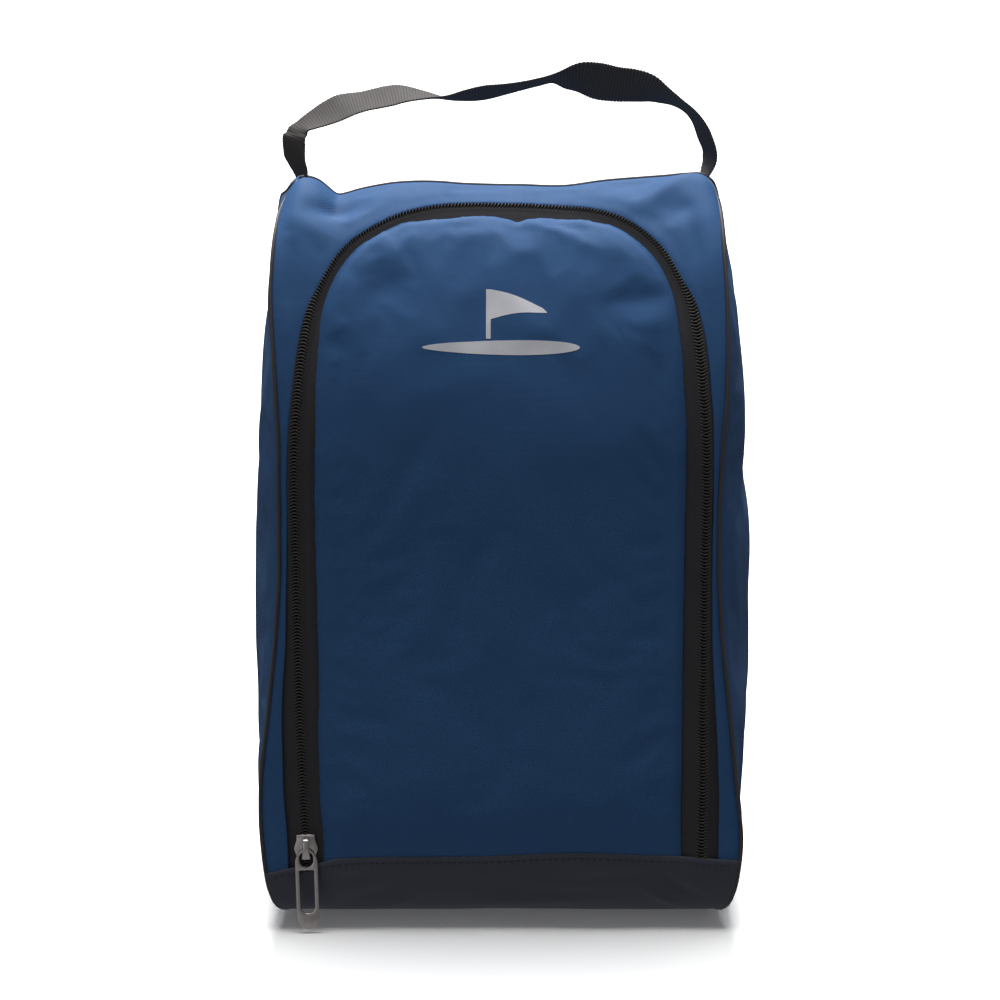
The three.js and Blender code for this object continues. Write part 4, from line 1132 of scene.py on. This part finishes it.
# the folded seam line along the top
def build_top_seam():
    x = np.linspace(-98.5, 98.5, 130)
    p = base_surface(x, np.full_like(x, S_TOP), -1.0)
    p[:, 1] = 0.35 * lattice_noise(61)(x / 18.0, 1.0)
    p[:, 2] += 0.15
    m = 8
    rings = np.zeros((len(x), m, 3))
    for j in range(m):
        a = 2 * math.pi * j / m
        rings[:, j] = p + np.stack([np.zeros_like(x), np.full_like(x, 1.0 * math.cos(a)), np.full_like(x, 0.75 * math.sin(a))], 1)
    v, f = sweep_mesh(rings)
    uv = np.stack([np.repeat(x, m), np.tile(np.arange(m) * 0.8, len(x))], 1)
    ob = link("top_seam_welt", v, f, [M_SEAM], uv=uv)
    fix_normals(ob)
    return ob


ob = build_top_seam()
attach(ob, "bag")


def strip(name, rows, thick, mat, uvstep=1.0):
    """A thin strip from rows of points (n, m, 3): its own upper face, with thickness below."""
    P = np.asarray(rows, float)
    n, m = P.shape[:2]
    tris = []
    for i in range(n - 1):
        for j in range(m - 1):
            a, b, c, e = i * m + j, i * m + j + 1, (i + 1) * m + j + 1, (i + 1) * m + j
            tris += [(a, b, c), (a, c, e)]
    tris = np.array(tris)
    V = P.reshape(-1, 3)
    fn = np.cross(V[tris[:, 1]] - V[tris[:, 0]], V[tris[:, 2]] - V[tris[:, 0]])
    vn = np.zeros_like(V)
    for k in range(3):
        np.add.at(vn, tris[:, k], fn)
    vn /= np.maximum(np.linalg.norm(vn, axis=1, keepdims=True), 1e-9)
    uv = np.stack([np.repeat(np.arange(n) * uvstep, m), np.tile(np.arange(m) * 1.5, n)], 1)
    return thick_panel(name, uv, tris, V, vn, thick, [mat, mat], hem=2)


def build_top_tape():
    x = np.linspace(-96, 96, 110)
    rows = []
    for off, sign in ((8, -1.0), (5, -1.0), (2.2, -1.0), (2.2, 1.0), (5, 1.0), (8, 1.0)):
        p, _ = surf(x, np.full_like(x, S_TOP - off), -3.0 - (0.6 if off < 3 else 0), sign)
        rows.append(p)
    return strip("top_seam_tape_cloth", np.stack(rows, 1), 0.6, M_BIND)


ob = build_top_tape()
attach(ob, "bag")
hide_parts("top_seam_tape")


def build_binding(side, name):
    p, s = edge_curve(side)
    p = p[p[:, 1] < -0.4][::2]
    full = np.vstack([p, p[::-1] * np.array([1, -1, 1])])
    for _ in range(3):
        full = (np.roll(full, 1, 0) + 2 * full + np.roll(full, -1, 0)) / 4
    tang = np.roll(full, -1, 0) - np.roll(full, 1, 0)
    tang /= np.linalg.norm(tang, axis=1, keepdims=True)
    ax = np.array([1.0, 0, 0]) * side
    out = np.cross(tang, ax)
    out /= np.linalg.norm(out, axis=1, keepdims=True)
    flip = np.einsum("ij,ij->i", out, full - np.array([0, 0, 180.0])) < 0
    out[flip] *= -1
    nz = lattice_noise(81)
    u = np.arange(len(full)) * 1.0
    wav = 0.35 * nz(u / 7.0, 1.0)[:, None]
    rings = []
    for a, b in ((-2.8, -8.4), (-4.2, -8.4), (-4.5, -9.2), (-4.5, -14.6), (-4.1, -15.6), (-3.3, -15.8), (-2.7, -15.2), (-2.5, -9.2)):
        rings.append(full + ax * (a + wav * (b < -14)) + out * b)
    v, f = sweep_mesh(np.stack(rings, 1), closed=True)
    v[:, 2] = np.maximum(v[:, 2], 2.2)
    uv = np.stack([np.repeat(u * 2, 8), np.tile(np.arange(8) * 2.0, len(full))], 1)
    ob = link(name, v, f, [M_BIND], uv=uv)
    fix_normals(ob)
    return ob


for side, tag in ((-1, "left"), (1, "right")):
    ob = build_binding(side, f"seam_binding_{tag}_cloth")
    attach(ob, "bag")
    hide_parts(f"seam_binding_{tag}")


# ---------------------------------------------------------------- zip tapes
def tape(name, d_list, n_list, t0, t1, sign_d, thick=0.55, step=1.2, foot=0.0):
    """A woven strip along the zip; d_list and n_list give its cross-section."""
    t = np.linspace(t0, t1, int((t1 - t0) / step))
    cols = len(d_list)
    verts, nr, uv = [], [], []
    for j, (d, n) in enumerate(zip(d_list, n_list)):
        dd = d(t) if callable(d) else np.full_like(t, d)
        n_ = n(t) if callable(n) else np.full_like(t, n)
        x, s = zip_at(t, sign_d * dd)
        if sign_d > 0:
            room = 2.6 + 0.22 * (cols - 1 - j)
            x = np.clip(x, -(WIDTH_L(s) - room), WIDTH_R(s) - room)
        p, q = surf(x, s, n_)
        verts.append(p)
        nr.append(q)
        uv.append(np.stack([t, dd], 1))
    P = np.stack(verts, 1).reshape(-1, 3)
    N = np.stack(nr, 1).reshape(-1, 3)
    UV = np.stack(uv, 1).reshape(-1, 2)
    tris = []
    for i in range(len(t) - 1):
        for j in range(cols - 1):
            a, b, c, e = i * cols + j, i * cols + j + 1, (i + 1) * cols + j + 1, (i + 1) * cols + j
            tris += [(a, b, c), (a, c, e)]
    return thick_panel(name, UV, np.array(tris), P, N, thick, [M_TAPE, M_TAPE], hem=2)


_tn = lattice_noise(71)


def arc_w(t):
    """0 on the two legs and 1 over the arc, where the chain rolls towards the top."""
    return sstep(T_SH_L + 18, T_SH_L + 60, t) * (1 - sstep(T_SH_R - 60, T_SH_R - 18, t))


ROLL = math.radians(24)


def leveled(base, arc):
    """Height that goes from `base` on the legs to `base + arc` over the top."""
    return lambda q: base + arc * arc_w(q) + 0.05 * _tn(q / 9.0, base * 3.0)


tape_out = tape("zip_tape_outer_cloth", [0.45, 1.0, 1.5, 2.2, 2.9, 3.6, 5.0, 7.5, 10.0, 12.5],
                [leveled(a, b) for a, b in [(-1.5, -0.5), (-0.95, -0.8), (-0.2, -1.3), (0.1, -1.6), (-0.05, -1.5), (-0.7, -1.0), (-1.4, -0.5), (-2.0, -0.2),
                                            (-2.4, 0.0), (-2.7, 0.0)]], 0.3, ZLEN - 0.3, 1)
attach(tape_out, "bag")
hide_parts("zip_tape_outer")
tape_in = tape("zip_tape_inner_cloth", [0.45, 1.0, 1.5, 2.2, 2.9, 3.6, 4.6, 5.8, 7.2, 8.8, 10.6, 12.6],
               [leveled(a, b) for a, b in [(-1.5, -0.2), (-0.95, -0.4), (-0.2, -0.8), (0.05, -1.0), (-0.1, -1.2), (-0.6, -1.2), (-1.0, -1.2), (-1.0, -1.6),
                                           (-1.2, -2.0), (-1.8, -2.0), (-2.3, -1.6), (-2.7, -1.2)]], 0.3, ZLEN - 0.3, -1)
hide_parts("zip_tape_inner", "zip_tape_foot_left", "zip_tape_foot_right")
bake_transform(tape_in)


# ----------------------------------------------------------------- zip coil
def coil(name, side):
    """One half of the coil: a flattened helix of nylon wire whose heads mesh
    with the other half along the zip's centre line."""
    pitch = 1.62
    turns = int((ZLEN - 3.0) / pitch)
    per = 12
    n = turns * per + 1
    ph = np.linspace(0, turns * 2 * math.pi, n) + (0 if side > 0 else math.pi)
    t = 1.5 + pitch * (ph - ph[0]) / (2 * math.pi) + (0 if side > 0 else pitch / 2)
    # cross-section of a turn: head at the centre line, loop standing off the tape
    c, sn = np.cos(ph), np.sin(ph)
    d = 1.02 + 1.42 * c * (0.86 + 0.14 * np.abs(c))
    h = -0.42 + 0.80 * np.sign(sn) * np.abs(sn) ** 0.8
    # the head is pinched lengthways so the two rows interlock
    tt = t + 0.24 * pitch * np.sin(ph) * (c < 0)
    a = ROLL * arc_w(tt)
    hd = side * d
    d2 = side * (hd * np.cos(a) - h * np.sin(a) * 0.5)
    h2 = hd * np.sin(a) + h * np.cos(a) - (1.15 if side > 0 else 0.1) * arc_w(tt)
    x, s = zip_at(tt, side * d2)
    p, q = surf(x, s, h2)
    tang = np.gradient(p, axis=0)
    tang /= np.linalg.norm(tang, axis=1, keepdims=True)
    x0, s0 = zip_at(tt, 0)
    ctr, qn = surf(x0, s0, -0.1)
    u1 = np.cross(tang, qn)
    u1 /= np.maximum(np.linalg.norm(u1, axis=1, keepdims=True), 1e-9)
    u2 = np.cross(tang, u1)
    m = 6
    r = 0.33 + 0.17 * np.clip(-c, 0, 1) ** 2
    rings = np.zeros((n, m, 3))
    for j in range(m):
        a = 2 * math.pi * j / m
        rings[:, j] = p + (u1 * math.cos(a) + u2 * math.sin(a)) * r[:, None]
    v, f = sweep_mesh(rings)
    ob = link(name, v, f, [M_COIL])
    fix_normals(ob)
    return ob


coil_out = coil("zip_coil_outer_wire", 1)
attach(coil_out, "bag")
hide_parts("zip_coil_outer")
coil_in = coil("zip_coil_inner_wire", -1)
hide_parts("zip_coil_inner", "zip_coil_foot_left", "zip_coil_foot_right")
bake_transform(coil_in)


# ------------------------------------------------------------ front print
def build_print():
    # generic mark: a pennant on a pole over a low oval, drawn in (x, s)
    loops = []
    cx, cs = -0.5, 263.0
    # flat oval with a notch of sky between it and the pole's foot
    a = np.linspace(0, 2 * math.pi, 120, endpoint=False)
    oval = np.stack([cx + 37.5 * np.cos(a), cs - 7.2 + 3.4 * np.sin(a) * (1 + 0.25 * np.cos(a))], 1)
    loops.append(oval)
    pole = [(-1.1, -3.0), (1.1, -3.0), (1.1, 6.3)]
    fly = []
    for k in range(0, 13):
        u = k / 12
        fly.append((1.1 + 27 * u, 6.3 + 1.2 * math.sin(u * 3.6) + 3.6 * u))
    tip = []
    for k in range(0, 13):
        u = 1 - k / 12
        tip.append((1.1 + 27 * u, 20.5 + 1.2 * math.sin(u * 3.6) - 9.4 * u))
    flag = pole + fly[1:] + tip[1:] + [(-1.1, 20.5)]
    loops.append(np.array(flag) + np.array([cx - 6.0, cs]))
    verts, faces, uvs, mi = [], [], [], []
    obs = []
    for i, lp in enumerate(loops):
        lp = resample(lp, 0.5)
        v2, tris, n = triangulate(lp, 1.3)
        p, q = on_door(v2[:, 0], v2[:, 1], 0.17)
        tris = np.asarray(tris, int)
        a3, b3, c3 = p[tris[:, 0]], p[tris[:, 1]], p[tris[:, 2]]
        back = np.einsum("ij,ij->i", np.cross(b3 - a3, c3 - a3), q[tris[:, 0]]) < 0
        tris[back] = tris[back][:, ::-1]
        m = len(p)
        edges = {}
        for f in tris.tolist():
            for u, v in ((f[0], f[1]), (f[1], f[2]), (f[2], f[0])):
                edges[(u, v)] = True
        rim = [(u, v) for u, v in edges if (v, u) not in edges]
        faces = tris.tolist() + [(f[2] + m, f[1] + m, f[0] + m) for f in tris.tolist()] + [(v, u, u + m, v + m) for u, v in rim]
        ob = link(f"front_print_{'green' if i == 0 else 'pennant'}", np.vstack([p, p - q * 0.4]), faces, [M_PRINT],
                  uv=np.vstack([v2, v2]), smooth=False)
        obs.append(ob)
    return obs


for ob in build_print():
    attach(ob, "door")
    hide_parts("front_print")


# ------------------------------------------------------------ metal pieces
TILT = math.atan2(4.2, 165.0)


def metal_frame():
    lo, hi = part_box("slider_body")
    lo2, hi2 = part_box("pull_tab")
    return lo, hi, lo2, hi2


SL_LO, SL_HI = [np.array(v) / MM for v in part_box("slider_body")]
SL_ORIGIN = np.array([(SL_LO[0] + SL_HI[0]) / 2, -DEPTH, SL_LO[2]])
SL_ORIGIN[0] = -95.0 - 4.2 * 3.6 / 165.0


def to_slider(p):
    """Slider frame (x across, n off the cloth, z along the chain) to space."""
    p = np.asarray(p, float)
    c, s = math.cos(TILT), math.sin(TILT)
    x = p[:, 0] * c - p[:, 2] * s
    z = p[:, 0] * s + p[:, 2] * c
    return np.stack([SL_ORIGIN[0] + x, SL_ORIGIN[1] - p[:, 1], 38.6 + z], 1)


def bevel_plate(outline, n0, n1, holes=(), bev=0.25, mat=None, dome=None, step=0.55, name="plate"):
    """A flat casting with rounded edges, outline in (x, z), n0..n1 off the cloth."""
    rings = [np.asarray(outline, float)] + [np.asarray(h, float) for h in holes]
    rings = [resample(r, step) for r in rings]

    def area(r):
        return 0.5 * np.sum(r[:, 0] * np.roll(r[:, 1], -1) - np.roll(r[:, 0], -1) * r[:, 1])
    fixed = []
    for i, r in enumerate(rings):
        a = area(r)
        if (i == 0 and a < 0) or (i > 0 and a > 0):
            r = r[::-1]
        fixed.append(r)
    rings = fixed

    def inward(r, d):
        t = np.roll(r, -1, 0) - np.roll(r, 1, 0)
        t /= np.maximum(np.linalg.norm(t, axis=1, keepdims=True), 1e-9)
        return r + np.stack([-t[:, 1], t[:, 0]], 1) * d
    verts, faces = [], []
    levels = [(n0, bev), (n0 + bev * 0.3, bev * 0.3), (n0 + bev, 0.0), (n1 - bev, 0.0), (n1 - bev * 0.3, bev * 0.3), (n1, bev)]
    start = []
    count = 0
    for r in rings:
        idx = []
        for lv, d in levels:
            q = inward(r, d)
            verts.append(np.stack([q[:, 0], np.full(len(q), lv), q[:, 1]], 1))
            idx.append(np.arange(count, count + len(q)))
            count += len(q)
        start.append(idx)
        for a, b in zip(idx, idx[1:]):
            m = len(a)
            for k in range(m):
                k2 = (k + 1) % m
                faces.append((a[k], a[k2], b[k2], b[k]))
    V = np.vstack(verts)
    for which, top in ((0, False), (-1, True)):
        pts, edges, ids = [], [], []
        for idx in start:
            ring = idx[which]
            b = len(pts)
            pts += [(V[i, 0], V[i, 2]) for i in ring]
            ids += list(ring)
            edges += [(b + k, b + (k + 1) % len(ring)) for k in range(len(ring))]
        vs, _, fs, ov, *_ = delaunay_2d_cdt([tuple(p) for p in pts], edges, [], 1 if len(start) == 1 else 1, 1e-7)
        polys = [np.array([(V[i, 0], V[i, 2]) for i in idx[which]]) for idx in start]
        for f in fs:
            cxy = np.mean([tuple(vs[i]) for i in f], axis=0)[None]
            if not inside_poly(cxy, polys[0])[0]:
                continue
            if any(inside_poly(cxy, h)[0] for h in polys[1:]):
                continue
            ii = [ids[ov[i][0]] for i in f]
            faces.append(tuple(ii))
    if dome is not None:
        V[:, 1] += dome(V[:, 0], V[:, 2], V[:, 1])
    return V, faces


def metal_object(name, parts):
    verts, faces, c = [], [], 0
    for V, F in parts:
        verts.append(to_slider(V))
        faces += [tuple(i + c for i in f) for f in F]
        c += len(V)
    ob = link(name, np.vstack(verts), faces, [M_METAL])
    fix_normals(ob)
    return ob


def arc_pts(cx, cz, r, a0, a1, n):
    return [(cx + r * math.cos(math.radians(a0 + (a1 - a0) * k / n)), cz + r * math.sin(math.radians(a0 + (a1 - a0) * k / n))) for k in range(n + 1)]


L, H = 11.2, 5.8
out = [(-4.5, L), (-4.5, 8.6), (-4.7, 7.9), (-5.5, 5.6), (-H, 4.4), (-5.75, 3.6), (-4.7, 0.5), (-4.1, 0.0), (-3.0, 0.5), (-2.5, 1.6), (2.5, 1.6), (3.0, 0.5),
       (4.1, 0.0), (4.7, 0.5), (5.75, 3.6), (H, 4.4), (5.5, 5.6), (4.7, 7.9), (4.5, 8.6), (4.5, L)]
parts = [bevel_plate(out, 0.75, 1.9, bev=0.28, step=0.4)]
parts.append(bevel_plate([(-4.45, L), (-4.45, L - 1.1), (4.45, L - 1.1), (4.45, L)], 1.7, 2.25, bev=0.2, step=0.4))
for sx in (-1, 1):
    parts.append(bevel_plate([(sx * 3.25, 0.4), (sx * 4.05, 0.4), (sx * 4.05, L - 0.3), (sx * 3.25, L - 0.3)], -1.7, 1.2, bev=0.12, step=0.5))
parts.append(bevel_plate([(-3.9, 0.2), (3.9, 0.2), (3.9, L - 0.2), (-3.9, L - 0.2)], -4.2, -3.3, bev=0.25, step=0.6))
parts.append(bevel_plate([(-0.28, 2.0), (0.28, 2.0), (0.28, 7.4), (-0.28, 7.4)], -3.6, 1.0, bev=0.08, step=0.4))
slider_ob = metal_object("slider_body_casting", parts)
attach(slider_ob, "slider")
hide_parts("slider_body")


def crown_mesh():
    """A rounded bridge from the slider's head, arched over the ring, ending in a round lip."""
    prof_pts = [(9.9, 1.9), (9.7, 3.0), (9.0, 4.2), (7.6, 4.95), (5.6, 5.2), (3.4, 5.15), (1.4, 4.85), (0.0, 4.4), (-0.9, 3.8), (-1.2, 3.0), (-1.15, 2.1)]
    p, _ = _dense(np.array(prof_pts, float), 46)
    t = np.gradient(p, axis=0)
    t /= np.linalg.norm(t, axis=1, keepdims=True)
    nn = np.stack([-t[:, 1], t[:, 0]], 1)
    if nn[len(nn) // 2, 1] < 0:
        nn = -nn
    u = np.linspace(0, 1, len(p))
    wid = np.interp(u, [0, 0.08, 0.2, 0.4, 0.62, 0.8, 0.92, 1.0], [1.1, 1.45, 1.75, 1.45, 1.7, 2.15, 2.1, 1.6])
    th = 0.9
    m = 14
    rings = np.zeros((len(p), m, 3))
    for j in range(m):
        a = 2 * math.pi * j / m
        ca, sa = math.cos(a), math.sin(a)
        ex = np.sign(ca) * abs(ca) ** 0.65
        ey = np.sign(sa) * abs(sa) ** 0.65
        off = (ey - 1) * th / 2
        rings[:, j, 0] = wid * ex
        rings[:, j, 1] = p[:, 1] + nn[:, 1] * off
        rings[:, j, 2] = p[:, 0] + nn[:, 0] * off
    return sweep_mesh(rings)


crown_ob = metal_object("slider_crown_bridge", [crown_mesh()])
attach(crown_ob, "slider")
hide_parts("slider_crown")

zT, PL, PH = 4.0, 40.3, 5.5
zb = zT - PL + PH
outline = [(PH, zT - 7.0), (5.35, zT - 5.2), (4.75, zT - 3.3), (3.8, zT - 1.6), (2.6, zT - 0.45), (1.3, zT), (-1.3, zT), (-2.6, zT - 0.45), (-3.8, zT - 1.6), (-4.75, zT - 3.3), (-5.35, zT - 5.2), (-PH, zT - 7.0)]
outline += arc_pts(0, zb, PH, 180, 360, 28)
zi = zT - 1.8
ring = [(-2.9, zi - 0.5), (-2.3, zi), (2.3, zi), (2.9, zi - 0.5), (3.3, zi - 1.8), (3.4, zi - 3.6)] + arc_pts(0, zi - 3.6, 3.4, 0, -180, 16)[1:] + [(-3.3, zi - 1.8)]
st = zi - 3.6 - 3.4 - 1.5
sb = zT - PL + 8.0 + 3.55
slot_ = [(-3.55, st - 0.25), (-3.3, st), (3.3, st), (3.55, st - 0.25), (3.55, sb)] + arc_pts(0, sb, 3.55, 0, -180, 18)[1:]
pull_ob = metal_object("pull_tab_casting", [bevel_plate(outline, 2.3, 3.55, [ring, slot_], bev=0.3, step=0.45)])
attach(pull_ob, "pull")
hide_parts("pull_tab")

# ------------------------------------------------------------------- handle
# cross-sections of the strap: its front edge and its back edge, as the picture
# plane shows them, turned into a centre and a lean of the 25 mm width
# stations along the webbing: its middle (mm) and the direction across its width
STRAP = [
    (-97.7, 11.0, 356.8, 0.164, -0.957, 0.239),
    (-99.2, 8.0, 362.2, 0.251, -0.937, 0.244),
    (-100.3, 4.0, 367.9, 0.330, -0.914, 0.238),
    (-100.7, 1.5, 373.4, 0.392, -0.893, 0.223),
    (-100.3, 0.0, 378.1, 0.449, -0.862, 0.235),
    (-99.1, 0.0, 380.9, 0.476, -0.840, 0.261),
    (-97.3, 0.0, 383.4, 0.488, -0.843, 0.226),
    (-93.9, 0.0, 385.6, 0.484, -0.869, 0.101),
    (-88.5, 0.0, 388.4, 0.433, -0.900, -0.045),
    (-82.5, 0.0, 391.4, 0.406, -0.901, -0.154),
    (-76.0, 0.0, 394.2, 0.348, -0.913, -0.211),
    (-67.0, 0.0, 396.3, 0.213, -0.962, -0.169),
    (-60.7, 0.0, 397.7, 0.213, -0.961, -0.179),
    (-54.5, 0.0, 399.0, 0.207, -0.960, -0.187),
    (-47.4, 0.0, 400.0, 0.155, -0.978, -0.139),
    (-36.6, 0.0, 399.4, 0.079, -0.996, 0.045),
    (-26.4, 0.0, 398.3, 0.008, -0.973, 0.231),
    (-17.4, 0.0, 399.3, 0.039, -0.926, 0.374),
    (-8.5, 0.0, 400.6, 0.058, -0.898, 0.435),
    (0.9, 0.0, 402.2, 0.039, -0.926, 0.374),
    (9.6, 0.0, 404.0, 0.000, -0.948, 0.318),
    (17.4, 0.0, 405.8, 0.000, -0.953, 0.301),
    (24.1, 0.0, 407.4, -0.039, -0.949, 0.312),
    (30.9, 0.0, 407.5, 0.000, -0.839, 0.544),
    (38.4, 0.0, 408.0, 0.058, -0.693, 0.718),
    (46.5, 0.0, 406.3, 0.064, -0.580, 0.812),
    (55.0, 0.0, 404.8, 0.077, -0.621, 0.780),
    (63.9, 0.0, 404.1, 0.087, -0.667, 0.740),
    (71.2, 0.0, 402.6, 0.097, -0.749, 0.655),
    (78.0, 0.0, 399.3, 0.135, -0.880, 0.455),
    (84.6, 0.0, 395.9, 0.155, -0.950, 0.273),
    (90.7, 0.0, 391.6, 0.197, -0.966, 0.165),
    (95.3, 0.0, 385.7, 0.250, -0.964, 0.095),
    (98.3, 1.0, 378.1, 0.250, -0.957, 0.149),
    (100.0, 4.0, 370.7, 0.202, -0.963, 0.180),
    (99.4, 8.0, 364.3, 0.156, -0.967, 0.201),
    (97.8, 11.0, 358.3, 0.113, -0.969, 0.221),
]


def strap_stations():
    a = np.array(STRAP, float)
    w = a[:, 3:] / np.linalg.norm(a[:, 3:], axis=1, keepdims=True)
    return a[:, :3], w


def build_strap():
    C, B = strap_stations()
    n_s = len(C)
    # dense smooth path
    arr = np.hstack([C, B * 12.5])
    dense, u = _dense(arr, 700)
    P, W = dense[:, :3], dense[:, 3:]
    # extra length at both ends goes down into the seam
    pre = np.array([P[0] + np.array([0.6, 0, -k * 1.5]) for k in range(6, 0, -1)])
    post = np.array([P[-1] + np.array([-0.6, 0, -k * 1.5]) for k in range(1, 7)])
    W = np.vstack([np.repeat(W[:1], 6, 0), W, np.repeat(W[-1:], 6, 0)])
    P = np.vstack([pre, P, post])
    W /= np.linalg.norm(W, axis=1, keepdims=True)
    d = np.concatenate([[0], np.cumsum(np.linalg.norm(np.diff(P, axis=0), axis=1))])
    n = int(d[-1] / 0.30)
    uu = np.linspace(0, d[-1], n)
    P = np.stack([np.interp(uu, d, P[:, k]) for k in range(3)], 1)
    W = np.stack([np.interp(uu, d, W[:, k]) for k in range(3)], 1)
    for _ in range(2):
        P[1:-1] = (P[:-2] + 2 * P[1:-1] + P[2:]) / 4
        W[1:-1] = (W[:-2] + 2 * W[1:-1] + W[2:]) / 4
    T = np.gradient(P, axis=0)
    T /= np.linalg.norm(T, axis=1, keepdims=True)
    W = W - T * np.einsum("ij,ij->i", W, T)[:, None] * 0.6
    W /= np.linalg.norm(W, axis=1, keepdims=True)
    N = np.cross(W, T)
    N /= np.linalg.norm(N, axis=1, keepdims=True)
    half = 12.5
    cols = 42
    js = np.linspace(-1, 1, cols)
    rib = 1.45
    phase = uu / rib * 2 * math.pi
    verts = []
    # section: top face left to right, then the bottom face back
    for face in (1, -1):
        order = range(cols) if face > 0 else range(cols - 1, -1, -1)
        for j in order:
            w = js[j]
            edge = 1 - np.exp(-(1 - abs(w)) * 14.0)
            ph = phase + (math.pi if j % 2 else 0)
            hgt = 0.60 * (0.55 + 0.45 * edge) + 0.22 * np.cos(ph) * edge
            cup = 0.5 * (w * w - 0.4)
            bumpy = 0.32 * np.cos(phase) * (abs(w) > 0.97)
            verts.append(P + W * (half * w + np.sign(w) * bumpy)[:, None] + N * (face * hgt + cup)[:, None])
    rings = np.stack(verts, 1)
    v, f = sweep_mesh(rings)
    uv = np.stack([np.repeat(uu, rings.shape[1]), np.tile(np.concatenate([js, js[::-1]]) * half, n)], 1)
    ob = link("handle_webbing", v, f, [M_WEB], uv=uv)
    fix_normals(ob)
    return ob, d[-1]


strap_ob, STRAP_LEN = build_strap()
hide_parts("handle_strap", "handle_end_left", "handle_end_right")
strap_ob.visible_shadow = False
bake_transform(strap_ob)
print("strap length mm", round(STRAP_LEN, 1), "zip length mm", round(ZLEN, 1))


# --------------------------------------------- CAD pieces that stay as they are
def repaint(name, mat):
    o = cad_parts[name]
    o.data.materials.clear()
    o.data.materials.append(mat)
    for p in o.data.polygons:
        p.material_index = 0


repaint("base_board", M_BOARD)

# ------------------------------------------------------------ floor and light
fm, fnt, fb = new_mat("floor")
fb.inputs["Base Color"].default_value = (1.0, 1.0, 1.0, 1)
fb.inputs["Emission Color"].default_value = (1.0, 1.0, 1.0, 1)
fb.inputs["Emission Strength"].default_value = 0.06
fb.inputs["Roughness"].default_value = 0.9
fb.inputs["Specular IOR Level"].default_value = 0.0
bpy.ops.mesh.primitive_plane_add(size=40.0, location=(0, 0, 0.0))
floor = bpy.context.object
floor.name = "floor"
floor.data.materials.append(fm)
floor.visible_diffuse = False
floor.visible_glossy = False
floor.visible_shadow = False

world = bpy.data.worlds.new("studio")
bpy.context.scene.world = world
world.use_nodes = True
bg = world.node_tree.nodes["Background"]
bg.inputs["Color"].default_value = (0.97, 0.98, 1.0, 1)
bg.inputs["Strength"].default_value = 0.15


def sun(name, direction, strength, angle, color=(1, 1, 1)):
    d = bpy.data.lights.new(name, "SUN")
    d.energy = strength
    d.angle = math.radians(angle)
    d.color = color
    o = bpy.data.objects.new(name, d)
    bpy.context.scene.collection.objects.link(o)
    from mathutils import Vector
    o.rotation_euler = Vector(direction).to_track_quat("-Z", "Y").to_euler()
    return o


sun("top_light", (0.015, -0.07, -1.0), 3.2, 42.0, (1.0, 1.0, 1.0))
sun("rear_light", (0.02, -0.84, -1.0), 4.8, 16.0, (1.0, 1.0, 1.0))
sun("left_fill", (0.55, 0.82, -0.12), 0.24, 50.0, (0.97, 0.98, 1.0))
sun("floor_bounce", (0.0, 0.45, 1.0), 0.30, 90.0, (1.0, 0.99, 0.98))

bpy.context.scene.view_settings.view_transform = "Standard"
bpy.context.scene.view_settings.look = "None"
